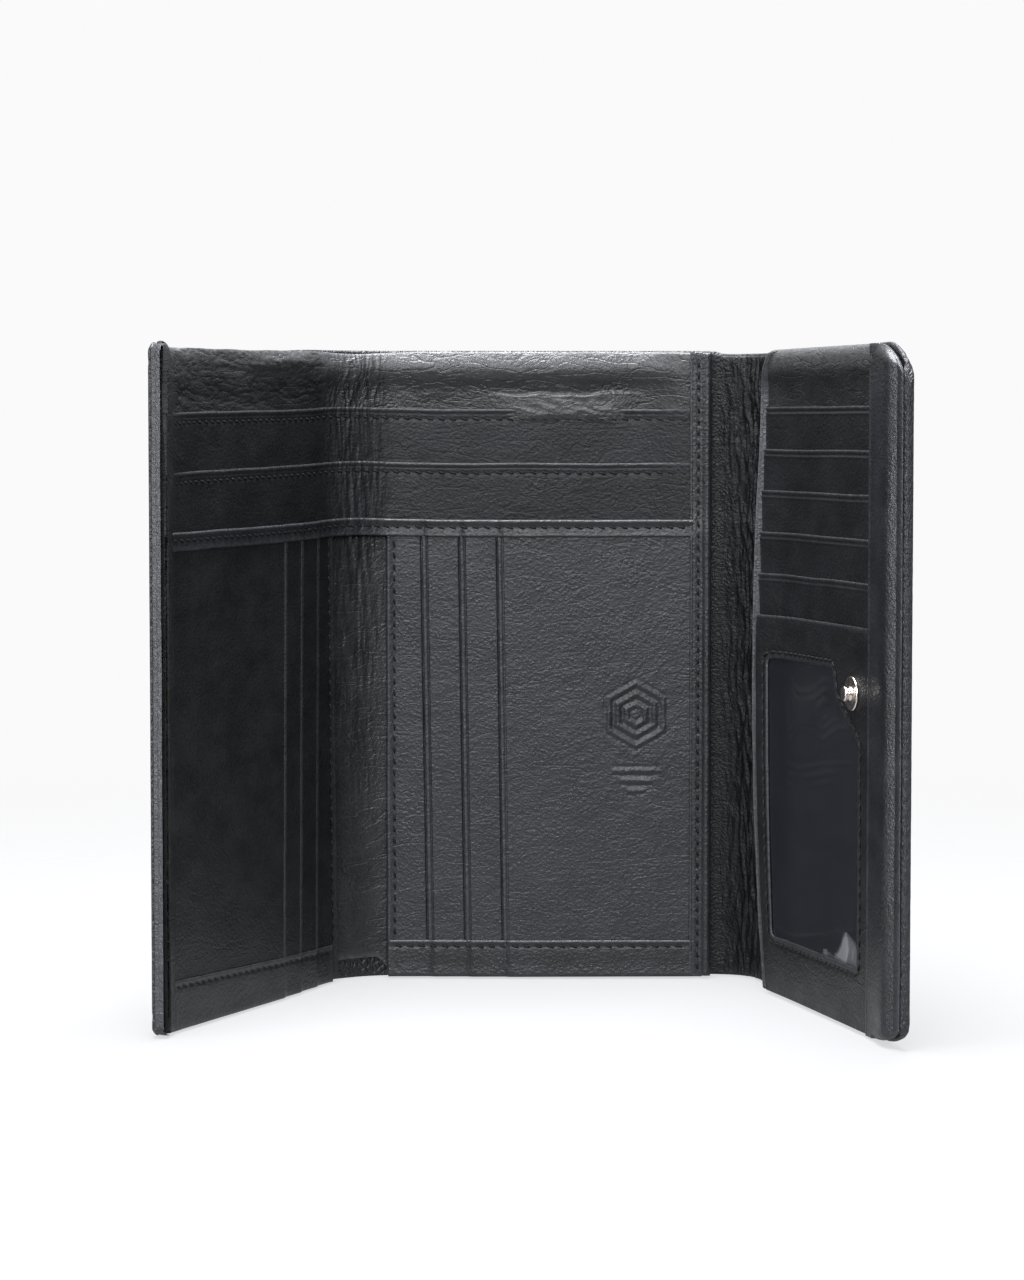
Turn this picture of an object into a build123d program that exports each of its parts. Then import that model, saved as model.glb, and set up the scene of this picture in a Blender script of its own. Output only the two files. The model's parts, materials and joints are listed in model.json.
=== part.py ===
"""Tall leather trifold wallet, standing on its bottom edges with both flaps part open.

The wallet is one leather cover with four vertical creases: a centre panel, a spine on each side of it
and a flap beyond each spine. Each strip of the cover is its own rigid group, hinged to the next at a
crease on the cover's inner face. Inside, the strips carry stiffeners, lining, note pockets and card
pockets, stacked towards the reader.

Millimetres, +Z up along the creases, +X to the reader's right, interior facing -Y. The origin is the
middle of the centre panel's bottom edge, halfway through the cover.
"""
from build123d import *
import math
import os

os.makedirs("parts", exist_ok=True)

# Overall sizes of the strips, measured between creases
height = 145.0
centre_half = 43.6
left_spine_width = 13.0
right_spine_width = 22.4
left_wing_length = 82.0
right_wing_length = 81.3

# How far each strip stands from flat as the wallet rests
left_spine_angle = 31.9
left_wing_angle = 63.8
right_spine_angle = 73.2
right_wing_angle = 75.4

# Leather, board and thread thicknesses, and the air between two layers
cover_thickness = 1.2
leather = 0.45
air = 0.05
layer = leather + air
board_thickness = 0.5
foil_thickness = 0.1
foam_thickness = 0.6
film_thickness = 0.2
gusset_thickness = 1.0
thread_width = 0.5
thread_height = 0.25

# Clearances at the creases: cover to crease, and inner layers to the spine that folds against them
crease_gap = 0.15
left_fold_margin = 3.4
right_fold_margin = 1.45
hem = 0.6

# Heights of the note pockets, the welt on the front one and the bottom band
rear_pocket_top = 131.6
middle_pocket_top = 119.2
front_pocket_top = 106.2
welt_height = 4.0
bottom_band_top = 9.0
spine_lining_bottom = 4.6

# Card pockets beside the spine: free edges on the centre panel and on the left wing
centre_slot_edges = (-32.2, -23.5, -14.8)
left_slot_edges = (7.8, 16.3, 24.8)

# Stitched bands along the outer edges, and the filler strip that carries each one past the pockets
centre_band = (29.5, 34.6)
left_binding = (76.2, 81.5)
filler_width = 2.2
band_thickness = 0.9
trim_thickness = 0.4

# Places of the stitch rows, from the edge that each one follows
seam_inset = 1.2
pocket_stitch_drop = 2.2
welt_stitch_drop = 2.6
panel_stitch_inset = 1.8

# Right wing: portrait card pockets, window pocket and padded border
right_pocket_start = 2.5
right_slot_first = 131.8
right_slot_pitch = 9.24
right_slot_count = 5
right_pocket_end = 66.0
border_start = 62.5
border_end = 79.8
right_corner_radius = 9.0
left_corner_radius = 3.0
window_left = 7.5
window_right = 57.5
window_bottom = 13.5
window_top = 76.0
notch_left = 42.5
notch_turn = 69.5
notch_foot = 61.0

# Snap fastener
snap_height = 71.4
stud_reach = 54.4
stud_head_radius = 1.65
stud_neck_radius = 1.2
stud_base_radius = 3.7
stud_projection = 2.3
socket_radius = 5.6
socket_bore_radius = 2.1
socket_projection = 2.2
socket_flange = 0.6
socket_wall = 1.2
socket_lip = 0.5
spring_thickness = 0.4
spring_width = 0.8
eyelet_radius = 1.9
eyelet_flange_radius = 4.0
eyelet_flange = 0.4
eyelet_curl = 0.3
stud_base = 0.6
stud_head = 1.1
stud_foot_radius = 3.3


def strip_plane(corner, angle, side):
    """Plane on a strip's inner face: x to the right along the strip, y up, z into the wallet."""
    turn = math.radians(angle)
    x_dir = (math.cos(turn), -side * math.sin(turn), 0)
    z_dir = (-side * math.sin(turn), -math.cos(turn), 0)
    return Plane(origin=corner, x_dir=x_dir, z_dir=z_dir)


def strip_end(corner, angle, side, length):
    """Point at the far edge of a strip that starts at corner."""
    turn = math.radians(angle)
    return (corner[0] + side * length * math.cos(turn), corner[1] - length * math.sin(turn), 0)


inner_face = -cover_thickness / 2
left_crease = (-centre_half, inner_face, 0)
right_crease = (centre_half, inner_face, 0)
left_wing_crease = strip_end(left_crease, left_spine_angle, -1, left_spine_width)
right_wing_crease = strip_end(right_crease, right_spine_angle, 1, right_spine_width)

centre = Plane(origin=(0, inner_face, 0), x_dir=(1, 0, 0), z_dir=(0, -1, 0))
left_spine = strip_plane(left_crease, left_spine_angle, -1)
left_wing = strip_plane(left_wing_crease, left_wing_angle, -1)
right_spine = strip_plane(right_crease, right_spine_angle, 1)
right_wing = strip_plane(right_wing_crease, right_wing_angle, 1)

# Levels of the layers above the cover's inner face, centre panel and left wing
board_level = air
foil_level = board_level + board_thickness + air
lining_level = foil_level + foil_thickness + air
rear_level = lining_level + layer
middle_level = rear_level + layer
front_level = middle_level + layer
slot_levels = [front_level + layer * (number + 1) for number in range(3)]
band_level = slot_levels[-1] + layer

# Levels on the right wing
right_backing_level = lining_level + foam_thickness + air
right_slot_levels = [right_backing_level + layer * (number + 1) for number in range(right_slot_count)]
film_level = right_slot_levels[-1] + layer
id_level = film_level + film_thickness + air
border_level = id_level + layer


def save(part, label):
    """Name a finished piece and write it out."""
    part.label = label
    export_step(part, f"parts/{label}.step")


def middle(span):
    """Midpoint of a span."""
    return (span[0] + span[1]) / 2


def sheet(label, plane, across, rise, level, thickness=leather, corner=0.4):
    """One flat rectangular layer lying at a level above the strip's inner face."""
    with BuildPart() as layer_part:
        with BuildSketch(plane.offset(level)):
            with Locations((middle(across), middle(rise))):
                RectangleRounded(across[1] - across[0], rise[1] - rise[0], corner)
        extrude(amount=thickness)
    save(layer_part.part, label)


def cover_strip(label, plane, across, free_side=0, corner=0, hole=None):
    """One strip of the outer cover, with rolled edges, and rounded corners on its free side."""
    with BuildPart() as cover:
        with BuildSketch(plane.offset(-cover_thickness)) as outline:
            with Locations((middle(across), height / 2)):
                Rectangle(across[1] - across[0], height)
            if free_side:
                outer = outline.vertices().sort_by(Axis.X)[-2:] if free_side > 0 else \
                    outline.vertices().sort_by(Axis.X)[:2]
                fillet(outer, corner)
            if hole:
                with Locations(hole):
                    Circle(eyelet_radius + air, mode=Mode.SUBTRACT)
        extrude(amount=cover_thickness)
        broad_faces = cover.faces().sort_by(SortBy.AREA)[-2:]
        rolled = broad_faces.edges().filter_by(lambda edge: is_rolled(edge, plane, across, free_side))
        fillet(rolled, 0.35)
    save(cover.part, label)


def is_rolled(edge, plane, across, free_side):
    """True for the edges that are turned in, so not the ends at a crease nor a hole's rim."""
    if edge.geom_type == GeomType.CIRCLE and edge.is_closed:
        return False
    local = plane.to_local_coords(edge.center())
    at_start = abs(local.X - across[0]) < 0.01
    at_end = abs(local.X - across[1]) < 0.01
    return not ((at_start and free_side >= 0) or (at_end and free_side <= 0))


def seam_threads(label, plane, runs):
    """Rows of stitching as flat bars on the leather; a run is its level and its two end points."""
    with BuildPart() as threads:
        for level, start, end in runs:
            length = math.dist(start, end)
            lean = math.degrees(math.atan2(end[1] - start[1], end[0] - start[0]))
            with BuildSketch(plane.offset(level)):
                with Locations(((start[0] + end[0]) / 2, (start[1] + end[1]) / 2)):
                    SlotOverall(length, thread_width, rotation=lean)
            extrude(amount=thread_height)
    save(threads.part, label)


def window_outline():
    """Corners of the window: a portrait rectangle cut back at its upper outer corner by the snap."""
    return [
        (window_left, window_bottom),
        (window_right, window_bottom),
        (window_right, notch_foot),
        (notch_left + 2, notch_turn),
        (notch_left, window_top),
        (window_left, window_top),
    ]


def centre_panel():
    """Cover, stiffener, foil, lining, three note pockets and three card pockets of the centre."""
    inner_start = -centre_half + left_fold_margin
    pocket_end = centre_band[1] - filler_width - 2 * air
    inner = (inner_start, pocket_end)
    cover_strip("centre_cover", centre, (-centre_half + crease_gap, centre_half - crease_gap))
    sheet("centre_board", centre, inner, (2, height - 2), board_level, board_thickness)
    sheet("centre_rfid_foil", centre, (inner_start + 1, pocket_end - 1), (4, 104), foil_level, foil_thickness)
    sheet("centre_lining", centre, inner, (hem, height - hem), lining_level)
    sheet("centre_note_pocket_rear", centre, inner, (hem, rear_pocket_top), rear_level)
    sheet("centre_note_pocket_middle", centre, inner, (hem, middle_pocket_top), middle_level)
    sheet("centre_note_pocket_front", centre, inner, (hem, front_pocket_top - 0.5), front_level)
    for number, (edge, level) in enumerate(zip(centre_slot_edges, slot_levels), start=1):
        sheet(f"centre_card_slot_{number}", centre, (edge, pocket_end), (hem, 101.6), level)
    welt = (front_pocket_top - welt_height, front_pocket_top)
    sheet("centre_pocket_welt", centre, (inner_start, centre_band[0] - 0.3), welt, band_level, trim_thickness)
    sheet("centre_bottom_band", centre, (inner_start, centre_band[0] - 0.3), (0.3, bottom_band_top),
          band_level, trim_thickness)
    sheet("centre_edge_filler", centre, (centre_band[1] - filler_width, centre_band[1]), (hem, height - hem),
          board_level, band_level - board_level - air)
    sheet("centre_edge_band", centre, centre_band, (0.3, height - 0.3), band_level, band_thickness, 0.8)
    sheet("centre_gusset_flange", centre, (centre_band[1] + air, centre_half - right_fold_margin),
          (0.3, height - 0.3), board_level, gusset_thickness)
    stitch_start = inner_start + seam_inset
    stitch_end = centre_band[0] - seam_inset
    seam_threads("centre_seam_threads", centre, [
        upright_row(band_level + band_thickness, centre_band[0] + seam_inset),
        upright_row(band_level + band_thickness, centre_band[1] - seam_inset),
        (front_level + leather, (inner_start + panel_stitch_inset, bottom_band_top + seam_inset),
         (inner_start + panel_stitch_inset, front_pocket_top - welt_height - seam_inset)),
        *trim_rows(stitch_start, stitch_end),
    ])


def upright_row(level, across):
    """A row of stitching the full height of a flap, as seam_threads takes it."""
    return (level, (across, seam_inset), (across, height - seam_inset))


def trim_rows(start, end):
    """The rows of stitching along the bottom band, the welt and the two note pockets behind it."""
    rows = [
        (band_level + trim_thickness, bottom_band_top - seam_inset),
        (band_level + trim_thickness, front_pocket_top - welt_stitch_drop),
        (middle_level + leather, middle_pocket_top - pocket_stitch_drop),
        (rear_level + leather, rear_pocket_top - pocket_stitch_drop),
    ]
    return [(level, (start, rise), (end, rise)) for level, rise in rows]


def left_spine_strip():
    """Narrow soft strip where the left flap folds; the note pockets run across it."""
    ends = (-left_spine_width + crease_gap, -crease_gap)
    soft = (-left_spine_width + 0.3, -0.3)
    cover_strip("left_spine_cover", left_spine, ends)
    sheet("left_spine_lining", left_spine, soft, (spine_lining_bottom, height - hem), lining_level)
    sheet("left_spine_note_pocket_rear", left_spine, soft, (99, rear_pocket_top), rear_level)
    sheet("left_spine_note_pocket_middle", left_spine, soft, (100, middle_pocket_top), middle_level)
    sheet("left_spine_note_pocket_front", left_spine, soft, (101, front_pocket_top), front_level)


def left_wing_flap():
    """Left flap: the same pocket layout mirrored, a stitched binding and the snap's socket."""
    outer_end = -left_binding[1] + filler_width + 2 * air
    inner = (outer_end, -left_fold_margin)
    socket = (-(2 * centre_half - stud_reach), snap_height)
    cover_strip("left_wing_cover", left_wing, (-left_wing_length, -crease_gap), -1, left_corner_radius,
                socket)
    with BuildPart() as board:
        with BuildSketch(left_wing.offset(board_level)):
            with Locations((middle(inner), height / 2)):
                RectangleRounded(inner[1] - inner[0], height - 4, 1.5)
            with Locations(socket):
                Circle(eyelet_flange_radius + 0.3, mode=Mode.SUBTRACT)
        extrude(amount=board_thickness)
    save(board.part, "left_wing_board")
    sheet("left_wing_rfid_foil", left_wing, (outer_end + 1, -left_fold_margin - 1), (4, 104), foil_level,
          foil_thickness)
    sheet("left_wing_lining", left_wing, inner, (hem, height - hem), lining_level)
    sheet("left_wing_note_pocket_rear", left_wing, inner, (hem, rear_pocket_top), rear_level)
    sheet("left_wing_note_pocket_middle", left_wing, inner, (hem, middle_pocket_top), middle_level)
    sheet("left_wing_note_pocket_front", left_wing, inner, (hem, front_pocket_top - 0.5), front_level)
    for number, (edge, level) in enumerate(zip(left_slot_edges, slot_levels), start=1):
        sheet(f"left_wing_card_slot_{number}", left_wing, (outer_end, -edge), (hem, 101.6), level)
    crossing = (-left_binding[0] + 0.3, -left_fold_margin)
    welt = (front_pocket_top - welt_height, front_pocket_top)
    sheet("left_wing_pocket_welt", left_wing, crossing, welt, band_level, trim_thickness)
    sheet("left_wing_bottom_band", left_wing, crossing, (0.3, bottom_band_top), band_level, trim_thickness)
    sheet("left_wing_edge_filler", left_wing, (-left_binding[1], -left_binding[1] + filler_width),
          (hem, height - hem), board_level, band_level - board_level - air)
    sheet("left_wing_edge_binding", left_wing, (-left_binding[1], -left_binding[0]), (0.3, height - 0.3),
          band_level, band_thickness, 0.8)
    panel_row = -left_fold_margin - seam_inset
    seam_threads("left_wing_seam_threads", left_wing, [
        upright_row(band_level + band_thickness, -middle(left_binding)),
        (front_level + leather, (panel_row, bottom_band_top + seam_inset),
         (panel_row, front_pocket_top - welt_height - seam_inset)),
        *trim_rows(crossing[0] + seam_inset, crossing[1] - seam_inset),
    ])
    snap_socket(socket)


def snap_socket(spot):
    """Socket half of the snap, riveted through the left flap's cover and facing outwards."""
    outer_face = Plane(
        origin=left_wing.from_local_coords(Vector(spot[0], spot[1], -cover_thickness)),
        x_dir=left_wing.x_dir,
        z_dir=-left_wing.z_dir,
    )
    neck_radius = eyelet_radius + 0.55
    chamber_radius = eyelet_radius + 1.1
    with BuildPart() as socket:
        with BuildSketch(outer_face):
            Circle(socket_radius)
            Circle(neck_radius, mode=Mode.SUBTRACT)
        extrude(amount=socket_flange)
        with BuildSketch(outer_face.offset(socket_flange)):
            Circle(socket_radius - socket_wall)
            Circle(chamber_radius, mode=Mode.SUBTRACT)
        extrude(amount=socket_projection - socket_flange - socket_lip)
        with BuildSketch(outer_face.offset(socket_projection - socket_lip)):
            Circle(socket_radius - socket_wall)
            Circle(socket_bore_radius, mode=Mode.SUBTRACT)
        extrude(amount=socket_lip)
        rim = top_face(socket, outer_face).edges().sort_by(SortBy.LENGTH)[-1]
        fillet(rim, 0.35)
    save(socket.part, "snap_socket")
    with BuildPart() as spring:
        with BuildSketch(outer_face.offset(socket_flange + air)):
            Circle(socket_bore_radius + spring_width)
            Circle(socket_bore_radius + air, mode=Mode.SUBTRACT)
            with Locations((socket_bore_radius + spring_width / 2, 0)):
                Rectangle(2 * spring_width, 0.9, mode=Mode.SUBTRACT)
        extrude(amount=spring_thickness)
    save(spring.part, "snap_socket_spring")
    with BuildPart() as eyelet:
        with BuildSketch(outer_face.offset(-cover_thickness - air - eyelet_flange)):
            Circle(eyelet_flange_radius)
        extrude(amount=eyelet_flange)
        with BuildSketch(outer_face.offset(-cover_thickness - air)):
            Circle(eyelet_radius)
        extrude(amount=cover_thickness + air + eyelet_curl)
        with BuildSketch(outer_face.offset(eyelet_curl)):
            Circle(neck_radius - 2 * air)
        extrude(amount=socket_flange - eyelet_curl - air)
    save(eyelet.part, "snap_socket_eyelet")


def top_face(builder, plane):
    """The face of a part that stands furthest out of a plane."""
    return builder.faces().sort_by(lambda face: plane.to_local_coords(face.center()).Z)[-1]


def right_spine_strip():
    """Wide spine of grained leather, cover outside and gusset lining inside."""
    ends = (crease_gap, right_spine_width - crease_gap)
    cover_strip("right_spine_cover", right_spine, ends)
    sheet("right_spine_gusset", right_spine, (0.3, right_spine_width - 0.3), (0.3, height - 0.3),
          board_level, gusset_thickness)


def right_wing_flap():
    """Right flap: portrait card pockets, window pocket, padded border and the snap's stud."""
    cover_strip("right_wing_cover", right_wing, (crease_gap, right_wing_length), 1, right_corner_radius)
    stiff = (right_fold_margin, right_pocket_end)
    pocket = (right_pocket_start, right_pocket_end)
    sheet("right_wing_board", right_wing, (right_fold_margin, border_end - 1.5), (2, height - 2),
          board_level, board_thickness, 8)
    sheet("right_wing_rfid_foil", right_wing, (4, right_pocket_end), (4, 130), foil_level, foil_thickness)
    sheet("right_wing_foam", right_wing, stiff, (1.5, height - 1.5), lining_level, foam_thickness)
    sheet("right_wing_backing", right_wing, stiff, (hem, height - hem), right_backing_level)
    for number, level in enumerate(right_slot_levels, start=1):
        top = right_slot_first - right_slot_pitch * (number - 1)
        sheet(f"right_wing_card_slot_{number}", right_wing, pocket, (hem, top), level)
    sheet("right_wing_hinge_piping", right_wing, (right_fold_margin, right_pocket_start - air),
          (hem, height - hem), right_slot_levels[0], id_level + leather - right_slot_levels[0])
    id_pocket()
    padded_border()
    stitched_end = border_start - 2
    seam_threads("right_wing_seam_threads", right_wing, [
        (id_level + leather, (window_left - 2, 4), (stitched_end, 4)),
        (id_level + leather, (window_left - 2, 5.5), (window_left - 2, window_top + 2)),
        (id_level + leather, (window_left - 1, window_top + 3), (notch_left + 2, window_top + 3)),
        (id_level + leather, (stitched_end, 5.5), (stitched_end, notch_foot)),
    ])
    snap_stud()


def id_pocket():
    """Window pocket: a leather frame with a clear film behind its opening."""
    id_top = right_slot_first - right_slot_pitch * right_slot_count
    with BuildPart() as panel:
        with BuildSketch(right_wing.offset(id_level)):
            with Locations(((right_pocket_start + right_pocket_end) / 2, (hem + id_top) / 2)):
                RectangleRounded(right_pocket_end - right_pocket_start, id_top - hem, 0.4)
            with BuildLine():
                FilletPolyline(*window_outline(), radius=1.5, close=True)
            make_face(mode=Mode.SUBTRACT)
            with Locations((stud_reach, snap_height)):
                Circle(stud_neck_radius + air, mode=Mode.SUBTRACT)
        extrude(amount=leather)
    save(panel.part, "right_wing_id_panel")
    with BuildPart() as film:
        with BuildSketch(right_wing.offset(film_level)):
            with BuildLine():
                FilletPolyline(*window_outline(), radius=1.5, close=True)
            make_face()
            offset(amount=2.2, kind=Kind.INTERSECTION)
        extrude(amount=film_thickness)
    save(film.part, "right_wing_id_window")


def upright_moulding(label, points, bottom, top):
    """Length of moulding on the right flap; its section is a list of places along and above the flap."""
    section_plane = Plane(
        origin=right_wing.from_local_coords(Vector(0, bottom, 0)),
        x_dir=right_wing.x_dir,
        z_dir=(0, 0, 1),
    )
    with BuildPart() as moulding:
        with BuildSketch(section_plane):
            with BuildLine():
                Polyline(*[(along, -above) for along, above in points], close=True)
            make_face()
        extrude(amount=top - bottom)
    save(moulding.part, label)


def padded_border():
    """Padded roll along the free edge of the right flap: leather wrapped over a foam core."""
    shoulder = 2.2
    drop = 1.6
    core_start = right_pocket_end + 0.2
    core_end = border_end - leather - 2 * air
    core_top = border_level - air
    upright_moulding("right_wing_border_padding", [
        (core_start, right_backing_level),
        (core_end, right_backing_level),
        (core_end, core_top - drop),
        (core_end - shoulder, core_top),
        (core_start, core_top),
    ], 1.5, height - 1.5)
    skin_top = border_level + leather
    upright_moulding("right_wing_border_binding", [
        (border_start, border_level),
        (core_end + air - shoulder, border_level),
        (core_end + air, border_level - drop),
        (core_end + air, right_backing_level),
        (border_end, right_backing_level),
        (border_end, skin_top - drop),
        (border_end - shoulder, skin_top),
        (border_start, skin_top),
    ], 0.3, height - 0.3)


def snap_stud():
    """Stud half of the snap: a necked head on a base ring, riveted through the window pocket's leather."""
    spot = Plane(
        origin=right_wing.from_local_coords(Vector(stud_reach, snap_height, id_level + leather)),
        x_dir=right_wing.x_dir,
        z_dir=right_wing.z_dir,
    )
    with BuildPart() as base:
        with BuildSketch(spot):
            Circle(stud_base_radius)
            Circle(stud_neck_radius + air, mode=Mode.SUBTRACT)
        extrude(amount=stud_base)
        rim = top_face(base, spot).edges().sort_by(SortBy.LENGTH)[-1]
        fillet(rim, 0.3)
    save(base.part, "snap_stud_base")
    with BuildPart() as stud:
        with BuildSketch(spot.offset(-leather - air - film_thickness)):
            Circle(stud_foot_radius)
        extrude(amount=film_thickness)
        with BuildSketch(spot.offset(-leather - air)):
            Circle(stud_neck_radius)
        extrude(amount=leather + air + stud_projection - stud_head)
        with BuildSketch(spot.offset(stud_projection - stud_head)):
            Circle(stud_head_radius)
        extrude(amount=stud_head)
        fillet(top_face(stud, spot).edges(), 0.5)
    save(stud.part, "snap_stud")


centre_panel()
left_spine_strip()
left_wing_flap()
right_spine_strip()
right_wing_flap()
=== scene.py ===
import json
import math
import bpy
import numpy as np
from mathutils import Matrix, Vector

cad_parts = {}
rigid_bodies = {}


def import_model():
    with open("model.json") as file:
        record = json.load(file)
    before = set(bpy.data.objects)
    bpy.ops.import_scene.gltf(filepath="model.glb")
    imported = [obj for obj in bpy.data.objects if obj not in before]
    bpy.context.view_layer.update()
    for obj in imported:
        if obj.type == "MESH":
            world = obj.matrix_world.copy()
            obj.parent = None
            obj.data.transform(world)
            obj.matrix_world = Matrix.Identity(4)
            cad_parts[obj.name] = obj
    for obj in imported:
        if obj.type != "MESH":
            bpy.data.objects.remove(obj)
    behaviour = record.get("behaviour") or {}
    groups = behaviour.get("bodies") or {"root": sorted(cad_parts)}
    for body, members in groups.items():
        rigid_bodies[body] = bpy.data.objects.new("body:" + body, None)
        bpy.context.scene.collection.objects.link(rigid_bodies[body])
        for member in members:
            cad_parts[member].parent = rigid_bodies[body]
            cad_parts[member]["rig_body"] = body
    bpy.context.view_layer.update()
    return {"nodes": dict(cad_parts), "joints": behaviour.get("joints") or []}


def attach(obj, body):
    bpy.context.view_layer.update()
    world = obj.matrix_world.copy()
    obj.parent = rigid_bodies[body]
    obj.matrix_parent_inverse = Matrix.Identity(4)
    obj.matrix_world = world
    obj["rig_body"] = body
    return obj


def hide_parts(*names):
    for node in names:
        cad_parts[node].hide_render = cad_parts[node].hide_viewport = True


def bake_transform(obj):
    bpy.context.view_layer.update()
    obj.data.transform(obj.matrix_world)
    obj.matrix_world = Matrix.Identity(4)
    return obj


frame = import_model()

# Lengths in this script are millimetres, turned to metres where a mesh, light or camera is made.
MM = 0.001

# ---------------------------------------------------------------- the frame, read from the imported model
JOINTS = {joint["name"]: joint for joint in frame["joints"]}


def pivot(name):
    """Plan position of a joint's axis."""
    return np.array(JOINTS[name]["pos_m"][:2]) / MM


def rest_angle(name):
    """How far a crease is folded at rest: its range starts where the strips lie flat."""
    return -JOINTS[name]["range_deg"][0]


A, B = pivot("left_spine_fold"), pivot("left_wing_fold")
C, D = pivot("right_spine_fold"), pivot("right_wing_fold")

# u runs along the cover's inner face from left to right, v is the height and n the way into the wallet.
U_A, U_C = A[0], C[0]
U_B = U_A - np.hypot(*(B - A))
U_D = U_C + np.hypot(*(D - C))
HEADING = {
    "left_wing": -rest_angle("left_spine_fold") - rest_angle("left_wing_fold"),
    "left_spine": -rest_angle("left_spine_fold"),
    "centre_panel": 0.0,
    "right_spine": rest_angle("right_spine_fold"),
    "right_wing": rest_angle("right_spine_fold") + rest_angle("right_wing_fold"),
}
HOME = {"left_wing": (U_B, B), "left_spine": (U_A, A), "centre_panel": (U_A, A),
        "right_spine": (U_C, C), "right_wing": (U_D, D)}


def along(heading):
    """Plan direction of a strip, towards larger u."""
    turn = math.radians(heading)
    return np.array([math.cos(turn), -math.sin(turn)])


def inward(heading):
    """Plan direction out of a strip's inner face."""
    turn = math.radians(heading)
    return np.array([-math.sin(turn), -math.cos(turn)])


class Extent:
    """A CAD node's reach in its own strip: u0..u1 along, v0..v1 up, n0..n1 inward."""

    def __init__(self, node):
        body = frame["nodes"][node]["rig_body"]
        u_home, home = HOME[body]
        mesh = frame["nodes"][node].data
        co = np.empty(len(mesh.vertices) * 3)
        mesh.vertices.foreach_get("co", co)
        co = co.reshape(-1, 3) / MM
        u = u_home + (co[:, :2] - home) @ along(HEADING[body])
        n = (co[:, :2] - home) @ inward(HEADING[body])
        self.u0, self.u1 = u.min(), u.max()
        self.v0, self.v1 = co[:, 2].min(), co[:, 2].max()
        self.n0, self.n1 = n.min(), n.max()


CAD = {node: Extent(node) for node in frame["nodes"]}
HEIGHT = CAD["centre_cover"].v1
LEFT_TIP = CAD["left_wing_cover"].u0
RIGHT_TIP = CAD["right_wing_cover"].u1
COVER_OUT = CAD["centre_cover"].n0
U_LEFT_MID = (U_A + U_B) / 2
U_RIGHT_MID = (U_C + U_D) / 2

# How far each side of a crease the leather curves
CURVE = {"A": 5.8, "B": 5.8, "C": 9.0, "D": 5.0}
CREASES = [
    (U_B, B, "left_wing", "left_spine", CURVE["B"]),
    (U_A, A, "left_spine", "centre_panel", CURVE["A"]),
    (U_C, C, "centre_panel", "right_spine", CURVE["C"]),
    (U_D, D, "right_spine", "right_wing", CURVE["D"]),
]


# ---------------------------------------------------------------- noise, all seeded by its arguments
def lattice(ix, iy, seed):
    """Two repeatable numbers from -1 to 1 for each lattice point."""
    h = (ix.astype(np.int64) * 374761393 + iy.astype(np.int64) * 668265263 + seed * 144665) & 0xFFFFFFFF
    h = ((h ^ (h >> 13)) * 1274126177) & 0xFFFFFFFF
    h = h ^ (h >> 16)
    angle = (h & 0xFFFF) / 65535.0 * 2 * math.pi
    return np.cos(angle), np.sin(angle)


def noise(x, y, seed=0):
    """Gradient noise from about -0.7 to 0.7, one feature per unit."""
    x, y = np.broadcast_arrays(np.asarray(x, float), np.asarray(y, float))
    ix, iy = np.floor(x), np.floor(y)
    fx, fy = x - ix, y - iy
    sx, sy = fx * fx * fx * (fx * (fx * 6 - 15) + 10), fy * fy * fy * (fy * (fy * 6 - 15) + 10)
    total = 0
    for dx in (0, 1):
        for dy in (0, 1):
            gx, gy = lattice(ix + dx, iy + dy, seed)
            weight = (sx if dx else 1 - sx) * (sy if dy else 1 - sy)
            total = total + weight * (gx * (fx - dx) + gy * (fy - dy))
    return total


def fractal(x, y, seed=0, octaves=3):
    """Noise with finer and fainter copies added."""
    return sum(noise(x * 2 ** k, y * 2 ** k, seed + k) / 2 ** k for k in range(octaves))


def ridges(x, y, seed=0, sharp=1.0):
    """Creased noise: 1 along the creases, falling to 0 between them."""
    return np.clip(1 - np.abs(fractal(x, y, seed, 2)) * 2.6, 0, 1) ** sharp


def step(x, low, high):
    """Smooth 0 to 1 as x goes from low to high."""
    t = np.clip((np.asarray(x, float) - low) / (high - low), 0, 1)
    return t * t * (3 - 2 * t)


def bell(x, centre, width):
    return np.exp(-((np.asarray(x, float) - centre) / width) ** 2)


# ---------------------------------------------------------------- from u, v, n to the row frame
BULGE = 3.3
BULGE_REACH = 9.0
BULGE_START = 2.6
PINCH = 3.6
PINCH_LEFT = 11.5
THIN_LEFT = 1.3
PINCH_RIGHT = 36.0
STACK_FRONT = CAD["left_wing_edge_binding"].n1
SLOT_STACK = CAD["centre_card_slot_3"].n1
SEAM_LEFT = CAD["left_wing_edge_binding"].u1
SEAM_RIGHT = CAD["centre_edge_band"].u0
TOP_SAG = 0.95


def bulge(u, v, n):
    """The right flap's hinge side swells inwards at half height. The cover behind it stays flat."""
    height = np.clip(1 - ((v - 72) / 76) ** 2, 0, 1)
    reach = np.where(u < U_D + 1.5, BULGE_START, BULGE_REACH)
    return BULGE * height * np.exp(-((u - U_D - 1.5) / reach) ** 2) * step(n, -0.1, 1.6)


def pinch(u, n):
    """Both wings thin out towards their sewn outer edges, from behind."""
    edges = 1.04 * step(-u, -LEFT_TIP - PINCH_LEFT, -LEFT_TIP) + step(u, RIGHT_TIP - PINCH_RIGHT, RIGHT_TIP - 5)
    thin = THIN_LEFT * step(-u, -LEFT_TIP - 7.0, -LEFT_TIP) * np.clip(n / STACK_FRONT, 0, 1.2)
    return PINCH * edges * np.clip(1 - n / STACK_FRONT, 0, 1) - thin


def gather(u, n):
    """Layers that stop short of the full stack are drawn up to it where the edge seams hold them."""
    near = 1 - step(u, SEAM_LEFT, SEAM_LEFT + 17) + step(u, SEAM_RIGHT - 13, SEAM_RIGHT)
    near = near * (u < SEAM_RIGHT + 1)
    return 0.8 * near * np.clip(SLOT_STACK - n, 0, 4) * step(n, 0.3, 1.2)


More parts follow.
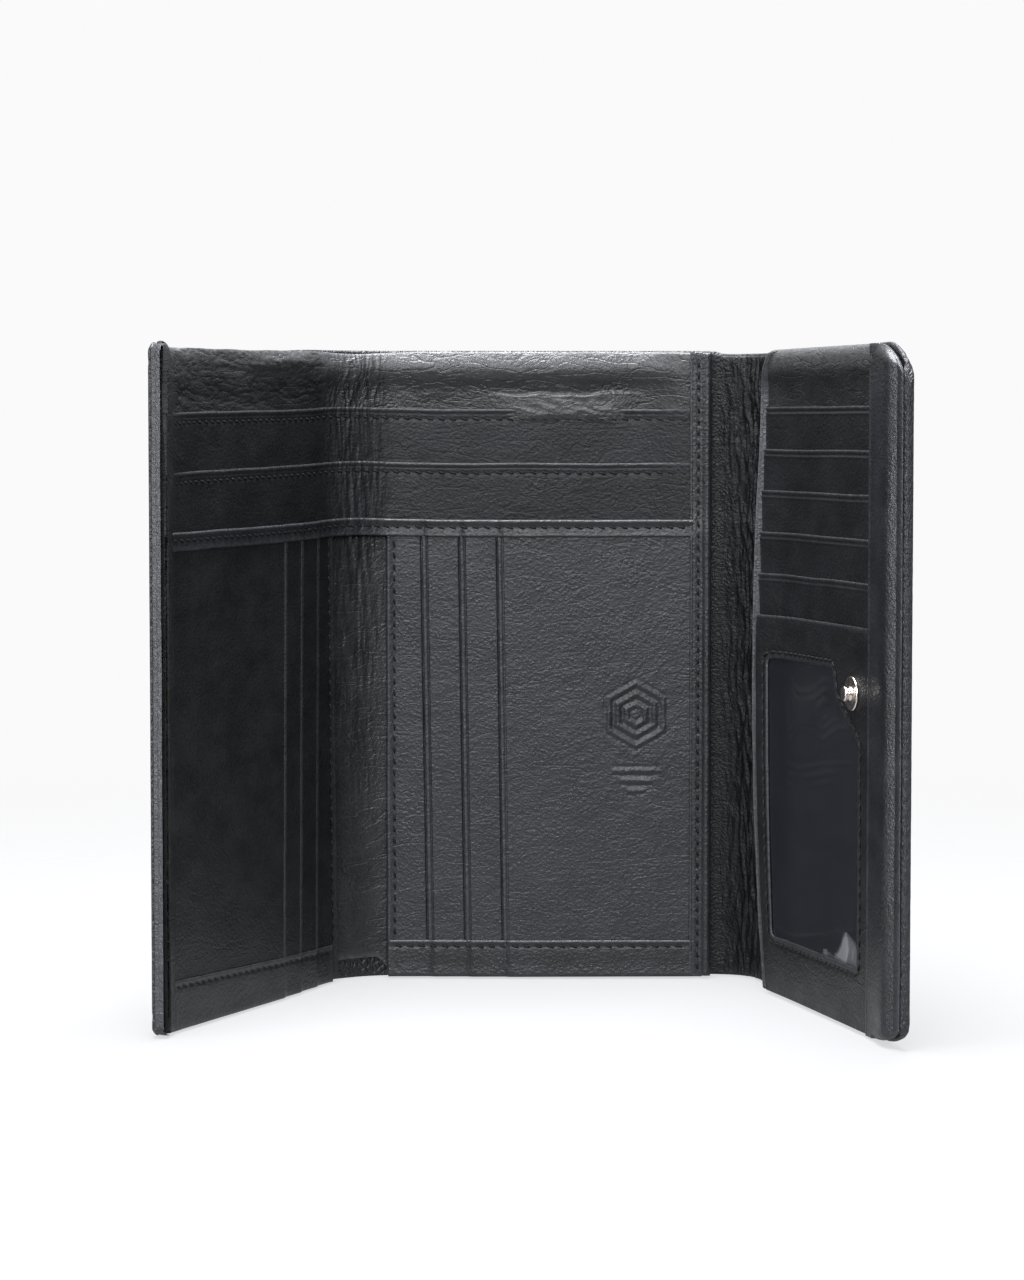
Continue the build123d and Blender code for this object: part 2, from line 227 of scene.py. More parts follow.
def sag(u, v):
    """The soft tops of the left wing and the gusset sink a little between firmer edges."""
    t = U_B - u
    across = step(t, 2, 34) * (1 - step(t, 75, 79))
    gusset_dip = 0.7 * step(u, SEAM_RIGHT + 5, SEAM_RIGHT + 9) * (1 - step(u, U_D - 6, U_D + 1))
    return (TOP_SAG * across + gusset_dip) * step(v, HEIGHT - 13, HEIGHT - 1)


def plan(u):
    """Point on the cover's inner face and the way inward, for each u, with the creases rounded."""
    u = np.asarray(u, float)
    xy = np.empty(u.shape + (2,))
    tangent = np.empty(u.shape + (2,))
    bounds_u = [-1e9, U_B, U_A, U_C, U_D, 1e9]
    bodies = ["left_wing", "left_spine", "centre_panel", "right_spine", "right_wing"]
    for body, low, high in zip(bodies, bounds_u[:-1], bounds_u[1:]):
        inside = (u >= low) & (u < high)
        u_home, home = HOME[body]
        xy[inside] = home + (u[inside] - u_home)[:, None] * along(HEADING[body])
        tangent[inside] = along(HEADING[body])
    for u_crease, corner, before, after, reach in CREASES:
        near = np.abs(u - u_crease) < reach
        t = ((u[near] - u_crease + reach) / (2 * reach))[:, None]
        first, last = corner - reach * along(HEADING[before]), corner + reach * along(HEADING[after])
        xy[near] = (1 - t) ** 2 * first + 2 * t * (1 - t) * corner + t ** 2 * last
        tangent[near] = (1 - t) * (corner - first) + t * (last - corner)
    tangent /= np.linalg.norm(tangent, axis=-1, keepdims=True)
    normal = np.stack([tangent[..., 1], -tangent[..., 0]], -1)
    return xy, normal


def place(u, v, n):
    """Row-frame points in metres."""
    u, v, n = np.broadcast_arrays(np.asarray(u, float), np.asarray(v, float), np.asarray(n, float))
    xy, normal = plan(u)
    xy = xy + normal * (n + bulge(u, v, n) + pinch(u, n) + gather(u, n))[..., None]
    return np.concatenate([xy, (v - sag(u, v))[..., None]], -1) * MM


# ---------------------------------------------------------------- meshes
def lines(low, high, spacing, fine=(), fine_spacing=0.22, rim=0.5):
    """Grid lines from low to high, closer at both ends and for a reach round each (place, reach) in fine."""
    marks = list(np.linspace(low, high, max(2, int(round((high - low) / spacing)) + 1)))
    for end, sign in ((low, 1), (high, -1)):
        marks += [end + sign * rim * share for share in (0.0, 0.06, 0.2, 0.42, 0.7, 1.0, 1.5)]
    for spot, reach in fine:
        marks += list(np.arange(spot - reach, spot + reach + 1e-6, fine_spacing))
    marks = np.unique(np.clip(np.round(marks, 4), low, high))
    kept = [marks[0]]
    for mark in marks[1:]:
        if mark - kept[-1] > 0.025:
            kept.append(mark)
    kept[-1] = high
    return np.array(kept)


def make_object(name, co, faces, normals=None, uv=None, wear=None):
    """A mesh object from arrays; uv and the pale-edge amount, real edge wear plus painted highlight, are one row for
    each vertex.
    """
    mesh = bpy.data.meshes.new(name)
    mesh.from_pydata([tuple(p) for p in co], [], faces)
    mesh.validate()
    mesh.update()
    mesh.polygons.foreach_set("use_smooth", np.ones(len(mesh.polygons), bool))
    if uv is not None:
        layer = mesh.uv_layers.new(name="Developed")
        corner_vertex = np.empty(len(mesh.loops), np.int32)
        mesh.loops.foreach_get("vertex_index", corner_vertex)
        layer.data.foreach_set("uv", np.asarray(uv, np.float32)[corner_vertex].ravel())
    if wear is not None:
        mesh.attributes.new("wear", "FLOAT", "POINT").data.foreach_set("value", np.asarray(wear, np.float32))
    if normals is not None:
        mesh.normals_split_custom_set_from_vertices([tuple(n) for n in normals])
    piece = bpy.data.objects.new(name, mesh)
    bpy.context.scene.collection.objects.link(piece)
    return piece


def vertex_normals(co, quads):
    """Area-weighted normals of a set of quads."""
    p = co[quads]
    face = np.cross(p[:, 2] - p[:, 0], p[:, 3] - p[:, 1])
    total = np.zeros_like(co)
    for k in range(4):
        np.add.at(total, quads[:, k], face)
    length = np.linalg.norm(total, axis=1, keepdims=True)
    return total / np.maximum(length, 1e-20)


class Grid:
    """The nominal lines of a panel, a across and b up, with the developed u and v of each crossing."""

    def __init__(self, across, up, to_uv=None):
        self.a, self.b = np.meshgrid(across, up, indexing="ij")
        self.u, self.v = to_uv(self.a, self.b) if to_uv else (self.a, self.b)


def value(thing, grid):
    return thing(grid) if callable(thing) else np.full(grid.a.shape, float(thing))


def panel(name, across, up, front, back, to_uv=None, rims=None, cuts=(), worn=None):
    """A closed sheet of leather between two faces, cut at each u in cuts. Gives one object for each length.

    front and back are levels n, as numbers or functions of the grid. rims gives the rounding of each free
    side, l, r, b or t; a side left out is cut square.
    """
    rims = {"l": 0.45, "r": 0.45, "b": 0.45, "t": 0.45} if rims is None else rims
    rounded = "".join(rims)
    grid = Grid(across, up, to_uv)
    shape = grid.a.shape
    gaps = {"l": grid.a - across[0], "r": across[-1] - grid.a, "b": grid.b - up[0], "t": up[-1] - grid.b}
    inset = np.minimum.reduce([gaps[side] for side in rounded]) if rounded else np.full(shape, 1e9)
    share = np.minimum.reduce([gaps[side] / rims[side] for side in rounded]) if rounded else inset
    n_front, n_back = value(front, grid), value(back, grid)
    middle = (n_front + n_back) / 2
    dome = np.sqrt(1 - (1 - np.clip(share, 0, 1)) ** 2)
    spread = (n_front - middle) * (1 - dome)
    n_front = middle + (n_front - middle) * dome
    n_back = middle + (n_back - middle) * dome
    co = np.concatenate([place(grid.u, grid.v, n_front).reshape(-1, 3),
                         place(grid.u, grid.v, n_back).reshape(-1, 3)])
    count = shape[0] * shape[1]
    index = np.arange(count).reshape(shape)
    back_index = index + count
    joined = (inset < 1e-6)
    back_index = np.where(joined, index, back_index)

    def quads_of(first, last):
        f, k = index[first:last + 1], back_index[first:last + 1]
        quads = [np.stack([f[:-1, :-1], f[1:, :-1], f[1:, 1:], f[:-1, 1:]], -1).reshape(-1, 4),
                 np.stack([k[:-1, :-1], k[:-1, 1:], k[1:, 1:], k[1:, :-1]], -1).reshape(-1, 4)]
        if first > 0 or "l" not in rounded:
            quads.append(np.stack([f[0, :-1], f[0, 1:], k[0, 1:], k[0, :-1]], -1))
        if last < shape[0] - 1 or "r" not in rounded:
            quads.append(np.stack([f[-1, :-1], k[-1, :-1], k[-1, 1:], f[-1, 1:]], -1))
        if "b" not in rounded:
            quads.append(np.stack([f[:-1, 0], k[:-1, 0], k[1:, 0], f[1:, 0]], -1))
        if "t" not in rounded:
            quads.append(np.stack([f[:-1, -1], f[1:, -1], k[1:, -1], k[:-1, -1]], -1))
        return np.concatenate(quads)

    faces_only = [np.stack([index[:-1, :-1], index[1:, :-1], index[1:, 1:], index[:-1, 1:]], -1).reshape(-1, 4),
                  np.stack([back_index[:-1, :-1], back_index[:-1, 1:], back_index[1:, 1:],
                            back_index[1:, :-1]], -1).reshape(-1, 4)]
    normals = vertex_normals(co, np.concatenate(faces_only))
    # Pale amount at each vertex: real wear at the cut edges, which also stands in as a painted highlight where edges
    # catch the light, plus any painted highlight the panel asks for
    wear = np.exp(-inset / 0.7) + (worn(grid) if worn else 0)
    wear = np.concatenate([np.clip(wear, 0, 1).ravel()] * 2)
    # The pattern runs on round the edges instead of stretching over them
    sideways = np.minimum(gaps["l"], gaps["r"]) <= np.minimum(gaps["b"], gaps["t"])
    over_u = np.where(gaps["l"] < gaps["r"], -1, 1) * sideways * spread
    over_v = np.where(gaps["b"] < gaps["t"], -1, 1) * ~sideways * spread
    uv = np.stack([(grid.u + over_u).ravel(), (grid.v + over_v).ravel()], -1) / 100
    uv = np.concatenate([uv, uv])
    stops = [0] + [int(np.argmin(np.abs(across - cut))) for cut in cuts] + [shape[0] - 1]
    pieces = []
    for number, (first, last) in enumerate(zip(stops[:-1], stops[1:])):
        quads = quads_of(first, last)
        used, compact = np.unique(quads, return_inverse=True)
        compact = compact.reshape(-1, 4)
        faces = []
        for quad in compact.tolist():
            ring = [quad[k] for k in range(4) if quad[k] != quad[k - 1]]
            if len(set(ring)) >= 3:
                faces.append(ring)
        label = name if len(stops) == 2 else f"{name}_{number + 1}"
        pieces.append(make_object(label, co[used], faces, normals[used], uv[used], wear[used]))
    return pieces


def finish_piece(piece, material, stands_for=(), body=None, crease=None):
    """Gives a piece its material and hides the CAD nodes it stands for; a piece that lies across a crease keeps its
    place in the world, any other goes onto its body.
    """
    piece.data.materials.append(material)
    if stands_for:
        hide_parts(*stands_for)
    if crease:
        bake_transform(piece)
    else:
        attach(piece, body)
    return piece


def bend_zone(u_start, u_end):
    """Start and end points of a bend, on the cover's inner face."""
    ends, _ = plan(np.array([u_start, u_end]))
    return tuple((*(ends[0] * MM), 0.0)), tuple((*(ends[1] * MM), 0.0))


BENDS = {
    "A": ("centre_panel", "left_spine") + bend_zone(U_A + CURVE["A"], U_A - CURVE["A"]),
    "B": ("left_spine", "left_wing") + bend_zone(U_B + CURVE["B"], U_B - CURVE["B"]),
    "C": ("centre_panel", "right_spine") + bend_zone(U_C - CURVE["C"], U_C + CURVE["C"]),
    "D": ("right_spine", "right_wing") + bend_zone(U_D - CURVE["D"], U_D + CURVE["D"]),
}


# ---------------------------------------------------------------- stitches
STITCH_PITCH = 2.6
STITCH_RADIUS = 0.27


def stitches(rows, seed=1):
    """Vertices and faces of rows of stitches. A row is a list of (u, v) corners and a level function."""
    generator = np.random.default_rng(seed)
    ring_at = np.array([-1.0, -0.86, -0.5, 0.0, 0.5, 0.86, 1.0])
    ring_size = np.array([0.25, 0.75, 0.95, 1.0, 0.95, 0.75, 0.25])
    sides = 8
    co, faces, uv = [], [], []
    for corners, level, slant in rows:
        corners = np.asarray(corners, float)
        seg = np.hypot(*np.diff(corners, axis=0).T)
        reach = np.concatenate([[0], np.cumsum(seg)])
        count = max(2, int(reach[-1] / STITCH_PITCH))
        spots = (np.arange(count) + 0.5) * reach[-1] / count
        cu, cv = np.interp(spots, reach, corners[:, 0]), np.interp(spots, reach, corners[:, 1])
        ahead = np.minimum(spots + 0.1, reach[-1])
        behind = np.maximum(spots - 0.1, 0)
        du = np.interp(ahead, reach, corners[:, 0]) - np.interp(behind, reach, corners[:, 0])
        dv = np.interp(ahead, reach, corners[:, 1]) - np.interp(behind, reach, corners[:, 1])
        lean = np.arctan2(dv, du) + np.radians(slant + generator.normal(0, 2.0, count))
        half = 0.33 * reach[-1] / count * (1 + generator.normal(0, 0.04, count))
        for k in range(count):
            x = ring_at * half[k]
            turn = np.arange(sides) * 2 * math.pi / sides
            y = ring_size[:, None] * STITCH_RADIUS * np.cos(turn)[None, :]
            rise = ring_size[:, None] * STITCH_RADIUS * 0.8 * np.sin(turn)[None, :]
            lift = (0.17 - 0.34 * ring_at ** 4)[:, None]
            u = cu[k] + x[:, None] * math.cos(lean[k]) - y * math.sin(lean[k])
            v = cv[k] + x[:, None] * math.sin(lean[k]) + y * math.cos(lean[k])
            n = level(cu[k], cv[k]) + rise + lift
            base = len(co) * len(ring_at) * sides
            co.append(place(u, v, n).reshape(-1, 3))
            uv.append(np.stack([u.ravel(), v.ravel()], -1) / 100)
            for ring in range(len(ring_at) - 1):
                for side in range(sides):
                    p, q = base + ring * sides + side, base + ring * sides + (side + 1) % sides
                    faces.append([p, p + sides, q + sides, q])
            faces.append([base + side for side in range(sides)])
            faces.append([base + (len(ring_at) - 1) * sides + side for side in reversed(range(sides))])
    return np.concatenate(co), faces, np.concatenate(uv)


def thread_piece(name, rows, stands_for=(), body=None, crease=None, seed=1):
    co, faces, uv = stitches(rows, seed)
    piece = make_object(name, co, faces, uv=uv, wear=np.zeros(len(co)))
    return finish_piece(piece, THREAD, stands_for, body, crease)


def stitch_dent(distance):
    """Shallow channel that a row of stitches pulls into the leather."""
    return -0.09 * np.exp(-(distance / 0.45) ** 2) - 0.06 * np.exp(-(distance / 1.1) ** 2)


def groove(distance, width, depth):
    return -depth * np.exp(-(distance / width) ** 2)


# ---------------------------------------------------------------- materials
class Nodes:
    """A short way to build a node material whose coordinates are millimetres of developed leather."""

    def __init__(self, name):
        self.material = bpy.data.materials.new(name)
        self.material.use_nodes = True
        self.tree = self.material.node_tree
        self.shader = self.tree.nodes["Principled BSDF"]
        coords = self.add("ShaderNodeUVMap")
        coords.uv_map = "Developed"
        self.mm = self.mapped(coords.outputs["UV"], (100, 100, 100), 0)

    def add(self, kind):
        return self.tree.nodes.new(kind)

    def link(self, source, target):
        if isinstance(source, (int, float)):
            target.default_value = source
        else:
            self.tree.links.new(source, target)

    def mapped(self, vector, scale, turn):
        node = self.add("ShaderNodeMapping")
        node.inputs["Scale"].default_value = scale
        node.inputs["Rotation"].default_value = (0, 0, math.radians(turn))
        self.link(vector, node.inputs["Vector"])
        return node.outputs["Vector"]

    def noise(self, size, detail=3, stretch=1.0, turn=0, rough=0.55, distortion=0.0):
        """Noise with features of size mm, stretched along a direction turned by turn degrees."""
        node = self.add("ShaderNodeTexNoise")
        node.inputs["Scale"].default_value = 1 / size
        node.inputs["Detail"].default_value = detail
        node.inputs["Roughness"].default_value = rough
        node.inputs["Distortion"].default_value = distortion
        self.link(self.mapped(self.mm, (1 / stretch, 1, 1), turn), node.inputs["Vector"])
        return node.outputs["Fac"]

    def cells(self, size, feature="F1", randomness=1.0, stretch=1.0, turn=0):
        node = self.add("ShaderNodeTexVoronoi")
        node.feature = feature
        node.inputs["Scale"].default_value = 1 / size
        node.inputs["Randomness"].default_value = randomness
        self.link(self.mapped(self.mm, (1 / stretch, 1, 1), turn), node.inputs["Vector"])
        return node.outputs["Distance"]

    def remap(self, source, low, high, out_low, out_high, smooth=False):
        node = self.add("ShaderNodeMapRange")
        node.interpolation_type = "SMOOTHSTEP" if smooth else "LINEAR"
        for label, number in zip(("From Min", "From Max", "To Min", "To Max"), (low, high, out_low, out_high)):
            node.inputs[label].default_value = number
        self.link(source, node.inputs["Value"])
        return node.outputs["Result"]

    def math(self, operation, first, second=0.0, third=0.0):
        node = self.add("ShaderNodeMath")
        node.operation = operation
        for socket, source in zip(node.inputs, (first, second, third)):
            self.link(source, socket)
        return node.outputs["Value"]

    def total(self, *terms):
        result = terms[0]
        for term in terms[1:]:
            result = self.math("ADD", result, term)
        return result

    def colours(self, factor, first, second):
        node = self.add("ShaderNodeMix")
        node.data_type = "RGBA"
        node.inputs["A"].default_value = (*first, 1)
        if isinstance(second, tuple):
            node.inputs["B"].default_value = (*second, 1)
        else:
            self.link(second, node.inputs["B"])
        self.link(factor, node.inputs["Factor"])
        return node.outputs["Result"]

    def attribute(self, name):
        node = self.add("ShaderNodeAttribute")
        node.attribute_name = name
        return node.outputs["Fac"]

    def bump(self, height, distance_mm, strength=1.0):
        node = self.add("ShaderNodeBump")
        node.inputs["Distance"].default_value = distance_mm * MM
        node.inputs["Strength"].default_value = strength
        self.link(height, node.inputs["Height"])
        self.link(node.outputs["Normal"], self.shader.inputs["Normal"])


def leather_material(name, dark, light, worn, pore=0.8, pebble=0.0, crease=0.5, rough=(0.42, 0.62), pebble_depth=1.6,
                     shine=0.5):
    """Black leather: pores, optional pebble, stretched creases, uneven gloss and pale edges, partly real wear and
    partly painted highlight.
    """
    m = Nodes(name)
    pores = m.cells(pore, "F1", stretch=1.1, turn=48)
    fine = m.noise(0.16, 2)
    creases = m.remap(m.math("ABSOLUTE", m.math("SUBTRACT", m.noise(4.2, 2.5, 3.4, 58, 0.55, 0.4), 0.5)),
                      0.0, 0.03, 0.0, 1.0, True)
    cross = m.remap(m.math("ABSOLUTE", m.math("SUBTRACT", m.noise(6.5, 2.5, 2.4, -35, 0.55, 0.5), 0.5)),
                    0.0, 0.02, 0.0, 1.0, True)
    small_pores = m.cells(pore * 0.5, "F1", stretch=1.1, turn=70)
    height = m.total(m.math("MULTIPLY", m.remap(pores, 0.0, 0.7, 1.0, 0.0), 0.7),
                     m.math("MULTIPLY", m.remap(small_pores, 0.0, 0.6, 1.0, 0.0), 0.4), m.math("MULTIPLY", fine, 0.2),
                     m.math("MULTIPLY", creases, crease), m.math("MULTIPLY", cross, crease * 0.5))
    if pebble:
        grain = m.remap(m.cells(pebble, "DISTANCE_TO_EDGE", stretch=0.8, turn=12), 0.0, 0.3, 0.0, 1.0, True)
        height = m.total(height, m.math("MULTIPLY", grain, pebble_depth))
    m.bump(height, 0.085)
    m.shader.inputs["Specular IOR Level"].default_value = shine
    tone = m.noise(9.0, 4, 1.6, 20)
    patches = m.colours(m.remap(tone, 0.3, 0.72, 0.0, 1.0, True), dark, light)
    # Pale colour mixed in where the mesh asks: real edge wear, and painted highlights on rolls, beads and lips
    edge = m.math("MULTIPLY", m.attribute("wear"), m.remap(m.noise(1.7, 3), 0.35, 0.7, 0.35, 1.0))
    mixed = m.add("ShaderNodeMix")
    mixed.data_type = "RGBA"
    m.link(patches, mixed.inputs["A"])
    mixed.inputs["B"].default_value = (*worn, 1)
    m.link(edge, mixed.inputs["Factor"])
    m.link(mixed.outputs["Result"], m.shader.inputs["Base Color"])
    gloss = m.total(m.remap(m.noise(5.5, 3, 1.4, -30), 0.3, 0.75, rough[0], rough[1]),
                    m.math("MULTIPLY", m.remap(pores, 0.0, 0.7, 0.0, 1.0), 0.08))
    m.link(gloss, m.shader.inputs["Roughness"])
    return m.material


def thread_material():
    m = Nodes("Waxed_thread")
    strands = m.noise(0.12, 2, 2.5, 25)
    m.bump(strands, 0.05)
    m.link(m.colours(strands, (0.0012, 0.0012, 0.0016), (0.007, 0.007, 0.009)), m.shader.inputs["Base Color"])
    m.link(m.remap(strands, 0.3, 0.7, 0.6, 0.8), m.shader.inputs["Roughness"])
    m.shader.inputs["Specular IOR Level"].default_value = 0.3
    return m.material


def metal_material(name, dark, light, rough):
    m = Nodes(name)
    coords = m.add("ShaderNodeTexCoord")
    swirl = m.add("ShaderNodeTexNoise")
    swirl.inputs["Scale"].default_value = 900
    m.link(coords.outputs["Object"], swirl.inputs["Vector"])
    m.link(m.colours(swirl.outputs["Fac"], dark, light), m.shader.inputs["Base Color"])
    m.shader.inputs["Metallic"].default_value = 1.0
    m.link(m.remap(swirl.outputs["Fac"], 0.3, 0.7, rough, rough + 0.08), m.shader.inputs["Roughness"])
    m.bump(swirl.outputs["Fac"], 0.006)
    return m.material


SAG_FROM, SAG_LOW = U_D + 36.0, 8.5


def film_material():
    """Clear vinyl over the dark lining: glossy and faintly blue."""
    m = Nodes("Clear_vinyl")
    haze = m.noise(6.0, 3, 2.0, 80)
    scuffs = m.noise(0.5, 3, 5.0, 70)
    parts = m.add("ShaderNodeSeparateXYZ")
    m.link(m.mm, parts.inputs["Vector"])
    # Low at the outer corner the film sags away from the light in a few tongues, and there its base colour is painted
    # pale grey as a painted glare
    line = m.total(m.math("MULTIPLY", m.math("SUBTRACT", parts.outputs["X"], SAG_FROM), 0.3),
                   m.math("MULTIPLY", m.noise(8.0, 0.0), 10.0), SAG_LOW)
    below = m.math("MINIMUM", m.math("SUBTRACT", parts.outputs["Y"], line), 0.0)
    inside = m.remap(parts.outputs["X"], SAG_FROM, SAG_FROM + 3, 0.0, 1.0, True)
    sag = m.math("MULTIPLY", m.math("MULTIPLY", below, inside), 3.0)
    painted_glare = m.math("MULTIPLY", m.remap(below, -1.6, -0.1, 1.0, 0.0, True), inside)
    m.bump(m.total(haze, m.math("MULTIPLY", scuffs, 0.05), sag), 0.12)
    clear = m.colours(haze, (0.006, 0.0068, 0.0088), (0.012, 0.0134, 0.017))
    # Painted glare: below the sag line the film's base colour turns pale grey
    film = m.add("ShaderNodeMix")
    film.data_type = "RGBA"
    m.link(clear, film.inputs["A"])
    film.inputs["B"].default_value = (0.15, 0.155, 0.17, 1)
    m.link(painted_glare, film.inputs["Factor"])
    m.link(film.outputs["Result"], m.shader.inputs["Base Color"])
    m.link(m.remap(scuffs, 0.3, 0.7, 0.12, 0.2), m.shader.inputs["Roughness"])
    m.shader.inputs["Coat Weight"].default_value = 0.8
    m.shader.inputs["Coat Roughness"].default_value = 0.08
    return m.material


# The pockets' nappa comes as lit and shaded copies of one leather: the centre's copies are painted lighter for the
# light they face, the wings' copy is painted darker for their shade, so one note pocket changes copy at the spine
CENTRE_NAPPA_LIT_COPY = leather_material("Nappa_centre_lit_copy", (0.0078, 0.0085, 0.0108), (0.0135, 0.0147, 0.0182), (0.05, 0.052, 0.06),
                          crease=0.3, rough=(0.32, 0.44), shine=0.55)
WING_NAPPA_SHADED_COPY = leather_material("Nappa_wings_shaded_copy", (0.0042, 0.0044, 0.0052), (0.0085, 0.0088, 0.0102),
                          (0.035, 0.036, 0.04), crease=0.3, rough=(0.33, 0.46), shine=0.42)
NOTE_NAPPA_LIT_COPY = leather_material("Nappa_note_pockets_lit_copy", (0.0058, 0.006, 0.0072), (0.0112, 0.0117, 0.0138),
                        (0.045, 0.046, 0.053), crease=0.4, rough=(0.36, 0.48), shine=0.3)
TRIM = leather_material("Nappa_trim", (0.0058, 0.0062, 0.0076), (0.0125, 0.0132, 0.0158), (0.04, 0.042, 0.048),
                        crease=0.15, rough=(0.28, 0.4))
LINING = leather_material("Lining_leather", (0.0065, 0.0068, 0.0075), (0.0135, 0.0139, 0.015),
                          (0.1, 0.1, 0.105), crease=0.8, rough=(0.3, 0.44))
GUSSET = leather_material("Pebbled_gusset", (0.0025, 0.0028, 0.0036), (0.006, 0.0065, 0.008), (0.03, 0.031, 0.036),
                          pebble=0.9, crease=0.3, rough=(0.3, 0.42), pebble_depth=0.45, shine=0.3)
COVER = leather_material("Pebbled_cover", (0.0042, 0.0045, 0.0055), (0.0085, 0.009, 0.0108),
                         (0.025, 0.026, 0.031), pebble=1.5, crease=0.2, rough=(0.32, 0.45))
THREAD = thread_material()
NICKEL = metal_material("Nickel", (0.7, 0.63, 0.57), (0.86, 0.81, 0.76), 0.2)
STEEL = metal_material("Spring_steel", (0.35, 0.35, 0.36), (0.55, 0.55, 0.56), 0.25)
FILM = film_material()


# ---------------------------------------------------------------- shared shapes of the leather
class At:
    """A spot where a panel's front is asked for outside its grid."""

    def __init__(self, u, v):
        self.u = self.a = np.asarray(u, float)
        self.v = self.b = np.asarray(v, float)


def level_of(front):
    return lambda u, v: front(At(u, v))


def soft(g, size, amount, seed):
    """Gentle unevenness of a leather panel."""
    return amount * fractal(g.u / size, g.v / size, seed, 2)


BAND_TOP = CAD["centre_bottom_band"].v1
WELT_LOW, WELT_TOP = CAD["centre_pocket_welt"].v0, CAD["centre_pocket_welt"].v1
MIDDLE_TOP, REAR_TOP = CAD["centre_note_pocket_middle"].v1, CAD["centre_note_pocket_rear"].v1
CENTRE_EDGES = [CAD[f"centre_card_slot_{k}"].u0 for k in (1, 2, 3)]
LEFT_EDGES = [CAD[f"left_wing_card_slot_{k}"].u1 for k in (1, 2, 3)]
BASE_FRONT = CAD["centre_note_pocket_front"].n1
LAYER = CAD["centre_card_slot_1"].n1 - BASE_FRONT
LEATHER = CAD["centre_lining"].n1 - CAD["centre_lining"].n0
LINING_FRONT = CAD["centre_lining"].n1
GAP = LAYER - LEATHER
SLOT_LEAN = 1.5
SLOT_HEIGHT = CAD["centre_card_slot_1"].v1


def lean(v):
    """How far the slot edges lean away from the creases towards the bottom."""
    return SLOT_LEAN * (1 - np.clip(v / SLOT_HEIGHT, 0, 1.1))


def stack(u, v):
    """Front of the card slots under the welt and bottom bands, stepping up at each slot's edge."""
    rise = sum(step(u - lean(v), edge - 0.2, edge + 1.6) for edge in CENTRE_EDGES)
    rise = rise + sum(step(edge - lean(v) - u, -0.2, 1.6) for edge in LEFT_EDGES)
    return BASE_FRONT + LAYER * rise


# The note pockets' mouths climb a little towards the spine and dip at the left wing's outer end
def mouth(u, nominal, drop):
    out = np.clip((U_B - u) / 76.0, 0, 1)
    return nominal - drop * out + 0.5 * bell(u, U_LEFT_MID, 14)


# ---------------------------------------------------------------- cover
PEBBLE = 0.11
pebble_cells = None


def pebbled(u, v, seed=40):
    """Coarse grain in the mesh itself: rounded bumps between fine valleys."""
    coarse = np.abs(fractal(u / 2.3, v / 2.6, seed, 2))
    return PEBBLE * (1.4 * np.clip(coarse, 0, 0.5) / 0.5 - 0.6) + 0.12 * fractal(u / 9, v / 12, seed + 5, 2)


def corner_squeeze(u, b, tip, radius, sign, width_share=1.0, low_share=1.0):
    """Height of each grid line where an outer corner is rounded. sign is 1 when the tip is on the right."""
    along_edge = np.clip(radius - sign * (tip - u) / width_share, 0, radius)
    cut = radius - np.sqrt(radius ** 2 - along_edge ** 2)
    reach = 24.0
    upper = np.clip((b - (HEIGHT - reach)) / reach, 0, 1)
    lower = np.clip((reach - b) / reach, 0, 1)
    return b - cut * upper ** 2 + low_share * cut * lower ** 2


LEFT_CORNER, RIGHT_CORNER = 3.0, 9.8
CORNER_WIDTH, CORNER_LOW = 1.5, 0.55


def cover_uv(a, b):
    v = np.where(a < 0, corner_squeeze(a, b, LEFT_TIP, LEFT_CORNER, -1),
                 corner_squeeze(a, b, RIGHT_TIP, RIGHT_CORNER, 1, CORNER_WIDTH, CORNER_LOW))
    return a, v


def cover_front(g):
    return 2.5 * step(g.u, RIGHT_TIP - 2.8, RIGHT_TIP - 1.4) + 0.4 * bell(g.u, RIGHT_TIP - 0.7, 0.5)


def cover_back(g):
    spine = bell(g.u, U_LEFT_MID, 9) + bell(g.u, U_RIGHT_MID, 12)
    folds = 0.22 * spine * fractal(g.u / 2.4, g.v / 22, 61, 2)
    turned = groove(g.v - 4.2, 0.7, 0.14) + groove(HEIGHT - 4.2 - g.v, 0.7, 0.14)
    turned = turned + groove(g.u - LEFT_TIP - 4.2, 0.7, 0.14) + groove(RIGHT_TIP - 4.2 - g.u, 0.7, 0.14)
    edge = np.clip(np.minimum(np.minimum(g.u - LEFT_TIP, RIGHT_TIP - g.u), np.minimum(g.v, HEIGHT - g.v)) / 3, 0, 1)
    return COVER_OUT - (pebbled(g.u, g.v) + folds) * edge - turned - 0.15 + 0.15 * (1 - edge)


cover_across = lines(LEFT_TIP, RIGHT_TIP, 0.75, [(LEFT_TIP + 4.2, 1.0), (RIGHT_TIP - 3.0, 3.0)], 0.2)
cover_up = lines(0, HEIGHT, 0.75, [(4.2, 1.0), (HEIGHT - 4.2, 1.0)], 0.3)
cover = panel("Cover_leather", cover_across, cover_up, cover_front, cover_back, cover_uv,
              rims={"l": 0.9, "r": 0.9, "b": 0.6, "t": 0.9}, cuts=(U_LEFT_MID, 0.0, U_RIGHT_MID))
for piece, crease, nodes in zip(cover, "BACD", (
        ("left_wing_cover", "left_spine_cover"), ("centre_cover",), ("right_spine_cover",), ("right_wing_cover",))):
    finish_piece(piece, COVER, nodes, crease=crease)


# ---------------------------------------------------------------- lining behind the pockets, left wing to centre
LEFT_IN = CAD["left_wing_lining"].u0
CENTRE_OUT = CAD["centre_lining"].u1
TUCK = (-12.0, 14.0)


